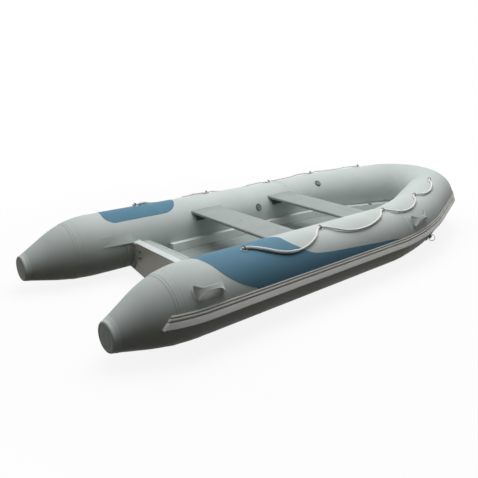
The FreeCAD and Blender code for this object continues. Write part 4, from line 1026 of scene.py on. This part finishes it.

# %% [markdown]
# The strake's grooves, its upper lip and its foot on the tube are darkened with painted shade,
# while the band stays pale. That colour depends only on the height in the extrusion, so the material
# works that out first: level along the sides, climbing with the bow ahead of its seam.

# %% Painted shade in the strake's grooves
# The grey stops are painted shade: in the grooves, on the upper lip and along the foot.
STRAKE_SHADE_BANDS = ((-0.0260, "#8b8a86"), (-0.0240, "#f0f0ee"), (0.0100, "#ffffff"), (0.0125, "#b5b4b0"),
                (0.0190, "#b5b4b0"), (0.0205, "#f4f4f2"), (0.0290, "#f4f4f2"), (0.0315, "#aeada9"),
                (0.0355, "#aeada9"), (0.0375, "#a9a8a4"))
BANDS_LOW, BANDS_HIGH = -0.030, 0.056
tree = strake_rubber.node_tree
base = tree.nodes["Principled BSDF"].inputs["Base Color"]
axes = add_node(tree, "SeparateXYZ", Vector=add_node(tree, "TexCoord").outputs["Object"])
past_seam = maths(tree, "MAXIMUM", maths(tree, "SUBTRACT", axes.outputs["X"], BOW_SEAM), 0.0)
climb = maths(tree, "MULTIPLY", past_seam, math.tan(BOW_RISE))
level = maths(tree, "SUBTRACT", axes.outputs["Z"], climb)
share_up = remap(tree, level, TUBE_UP + BANDS_LOW, TUBE_UP + BANDS_HIGH, 0.0, 1.0)
bands = add_node(tree, "ValToRGB", Fac=share_up)
stops = bands.color_ramp.elements
for number, (height, code) in enumerate(STRAKE_SHADE_BANDS):
    share = (height - BANDS_LOW) / (BANDS_HIGH - BANDS_LOW)
    stop = stops.new(share) if number else stops[0]
    stop.position, stop.color = share, swatch(code)
stops.remove(stops[-1])
groove_shaded = add_node(tree, "Mix", {"data_type": "RGBA", "blend_type": "MULTIPLY", "Factor": 1.0},
                   _6=base.links[0].from_socket, _7=bands)
plug_in(tree, groove_shaded.outputs[2], base)
print("strake bands", len(stops))

# %% [markdown]
# ## Small fittings
#
# A few small things finish the boat: a plug in the middle of the aft bench, a drain plug in the
# fore deck, a tie-down eye on the port shoulder of the deck, and the shelf ahead of the transom
# with two ridges. The shelf ends short of the deck, which leaves the dark drain gap that is seen
# there.

# %% Plug, eye and shelf
SHELF_CUT, RIDGE_INSET, RIDGE_STEPS = 0.38, 0.006, 12
DRAIN_PLACE, TIE_PLACE = (1.308, 0.150, 0.182), (0.667, 0.3313, 0.147)
bench_low, bench_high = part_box("bench_aft")
plug = disc_stack("bench_plug", 0.016, 0.0, ((0, 0.0008), (0.0012, 0.0004), (0.012, 0)), 32)
settle(plug, Matrix.Translation(((bench_low[0] + bench_high[0]) / 2, 0.0, bench_high[2] - 0.0004)))
finish_piece(plug, valve_grey)
drain = disc_stack("fore_drain_plug", 0.021, -0.001, (
    (0, 0.003), (0.0020, 0.0010), (0.0060, -0.0012), (0.009, 0)), 32)
settle(drain, Matrix.Translation(DRAIN_PLACE))
finish_piece(drain, dark_nylon)
tie_pad = disc_stack("tie_down_pad", 0.014, -0.001, ((0, 0.003), (0.0015, 0.0008), (0.009, 0)), 32)
tie_ring = spun_ring("tie_down_eye", 0.009, 0.0024, 0.008, 24, 10)
on_shoulder = Matrix.Translation(TIE_PLACE) @ Matrix.Rotation(math.pi / 2, 4, "X")
for item in (tie_pad, tie_ring):
    finish_piece(settle(item, on_shoulder), stainless)
low, high = (Vector(corner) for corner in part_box("transom_shelf"))
cut = (high.x - low.x) * SHELF_CUT
shelf = close_up(copy_piece(nodes["transom_shelf"], "painted_shelf"), FRAME_MERGE)
pick(shelf, lambda co, normal: co.x > (low.x + high.x) / 2, "VERT")
bpy.ops.transform.translate(value=(-cut, 0, 0))
finish_piece(close_up(shelf), shelf_paint, node="transom_shelf")
for number, share in enumerate((0.18, 0.72), start=1):
    ridge = begin(f"shelf_ridge_{number}", "circle", vertices=16, radius=0.0030, fill_type="NGON",
                  rotation=(math.pi / 2, 0, 0), location=(
                      low.x + share * (high.x - cut - low.x), low.y + RIDGE_INSET, high.z - 0.0008))
    extrude_along((0, (high.y - low.y - 2 * RIDGE_INSET) / RIDGE_STEPS, 0), RIDGE_STEPS)
    finish_piece(close_up(ridge), shelf_paint)
print("shelf front cut back by", round(cut, 4))

# %% [markdown]
# ## Floor, lamp and background
#
# The studio is a pale floor under one broad soft lamp, with a dim white wall off the port bow that
# fills the sides it faces. The floor shows white to the camera and in reflections, but sends
# little light up, which is what keeps the undersides of the tubes dark. The object's shadow stays
# on it.

# %% Floor
def seen_directly(tree):
    """One for rays from the camera, off a gloss or through glass; nought for the others."""
    rays = add_node(tree, "LightPath")
    direct = maths(tree, "MAXIMUM", rays.outputs["Is Camera Ray"], rays.outputs["Is Glossy Ray"])
    return maths(tree, "MAXIMUM", direct, rays.outputs["Is Transmission Ray"])


FLOOR_SIZE, FLOOR_UP = 60, -0.0022
floor = begin("studio_floor", "grid", x_subdivisions=8, y_subdivisions=8, size=FLOOR_SIZE,
              location=(0, 0, FLOOR_UP))
object_mode()
floor_paint, tree, shader, place = new_material("studio_floor_paint")
pale = add_node(tree, "BsdfDiffuse", {"Color": (0.9, 0.9, 0.9, 1)})
glow = add_node(tree, "Emission", {"Color": (1, 1, 1, 1), "Strength": 1.0})
reach = add_node(tree, "VectorMath", {"operation": "LENGTH"}, _0=place)
fade = remap(tree, reach.outputs["Value"], 1.6, 3.6, 0.88, 1.0, interpolation_type="SMOOTHSTEP")
shown = add_node(tree, "MixShader", Fac=fade, _1=pale, _2=glow)
dim = add_node(tree, "BsdfDiffuse", {"Color": (0.070, 0.060, 0.040, 1)})
both = add_node(tree, "MixShader", _0=seen_directly(tree), _1=dim, _2=shown)
plug_in(tree, both, tree.nodes["Material Output"].inputs["Surface"])
tree.nodes.remove(shader)
dress(floor, floor_paint)
print("floor ready")

# %% Lamp and world
LAMP_PLACE, LAMP_AIM, LAMP_WATTS = Vector((0.2, 0.3, 4.2)), Vector((0.1, 0, 0)), 215
lamp_data = bpy.data.lights.new("top_softbox", "AREA")
lamp_data.shape = "RECTANGLE"
lamp_data.size, lamp_data.size_y = 5.0, 4.0
lamp_data.energy = LAMP_WATTS
lamp = link_item("top_softbox", lamp_data)
lamp.location = LAMP_PLACE
lamp.rotation_euler = (LAMP_AIM - LAMP_PLACE).to_track_quat("-Z", "Y").to_euler()
world = bpy.data.worlds.new("studio_world")
scene.world = world
world.use_nodes = True
tree = world.node_tree
tree.nodes.clear()


def lobe(direction, start, low, high):
    """Brightness that grows from low to high as a ray turns towards the direction."""
    toward = add_node(tree, "VectorMath", {"operation": "DOT_PRODUCT", "_1": Vector(direction)},
                      _0=add_node(tree, "TexCoord").outputs["Generated"])
    return remap(tree, toward.outputs["Value"], start, 1.0, low, high)


wall = lobe(Vector((0.89, 0.45, 0.0)).normalized(), 0.0, 0.02, 0.97)
screen = lobe((-1.0, 0.0, 0.1), 0.7, 0.0, 0.34)
dim = add_node(tree, "Background", {"Color": (0.98, 0.99, 1, 1)}, Strength=maths(tree, "ADD", wall, screen))
white = add_node(tree, "Background", {"Color": (1, 1, 1, 1), "Strength": 1.0})
both = add_node(tree, "MixShader", _0=seen_directly(tree), _1=dim, _2=white)
add_node(tree, "OutputWorld", Surface=both)
print("lamp ready")

# %% [markdown]
# ## Last settings
#
# The view transform is set to Standard and the selection is cleared.

# %% View transform, and done
scene.view_settings.view_transform = "Standard"
clear_selection()
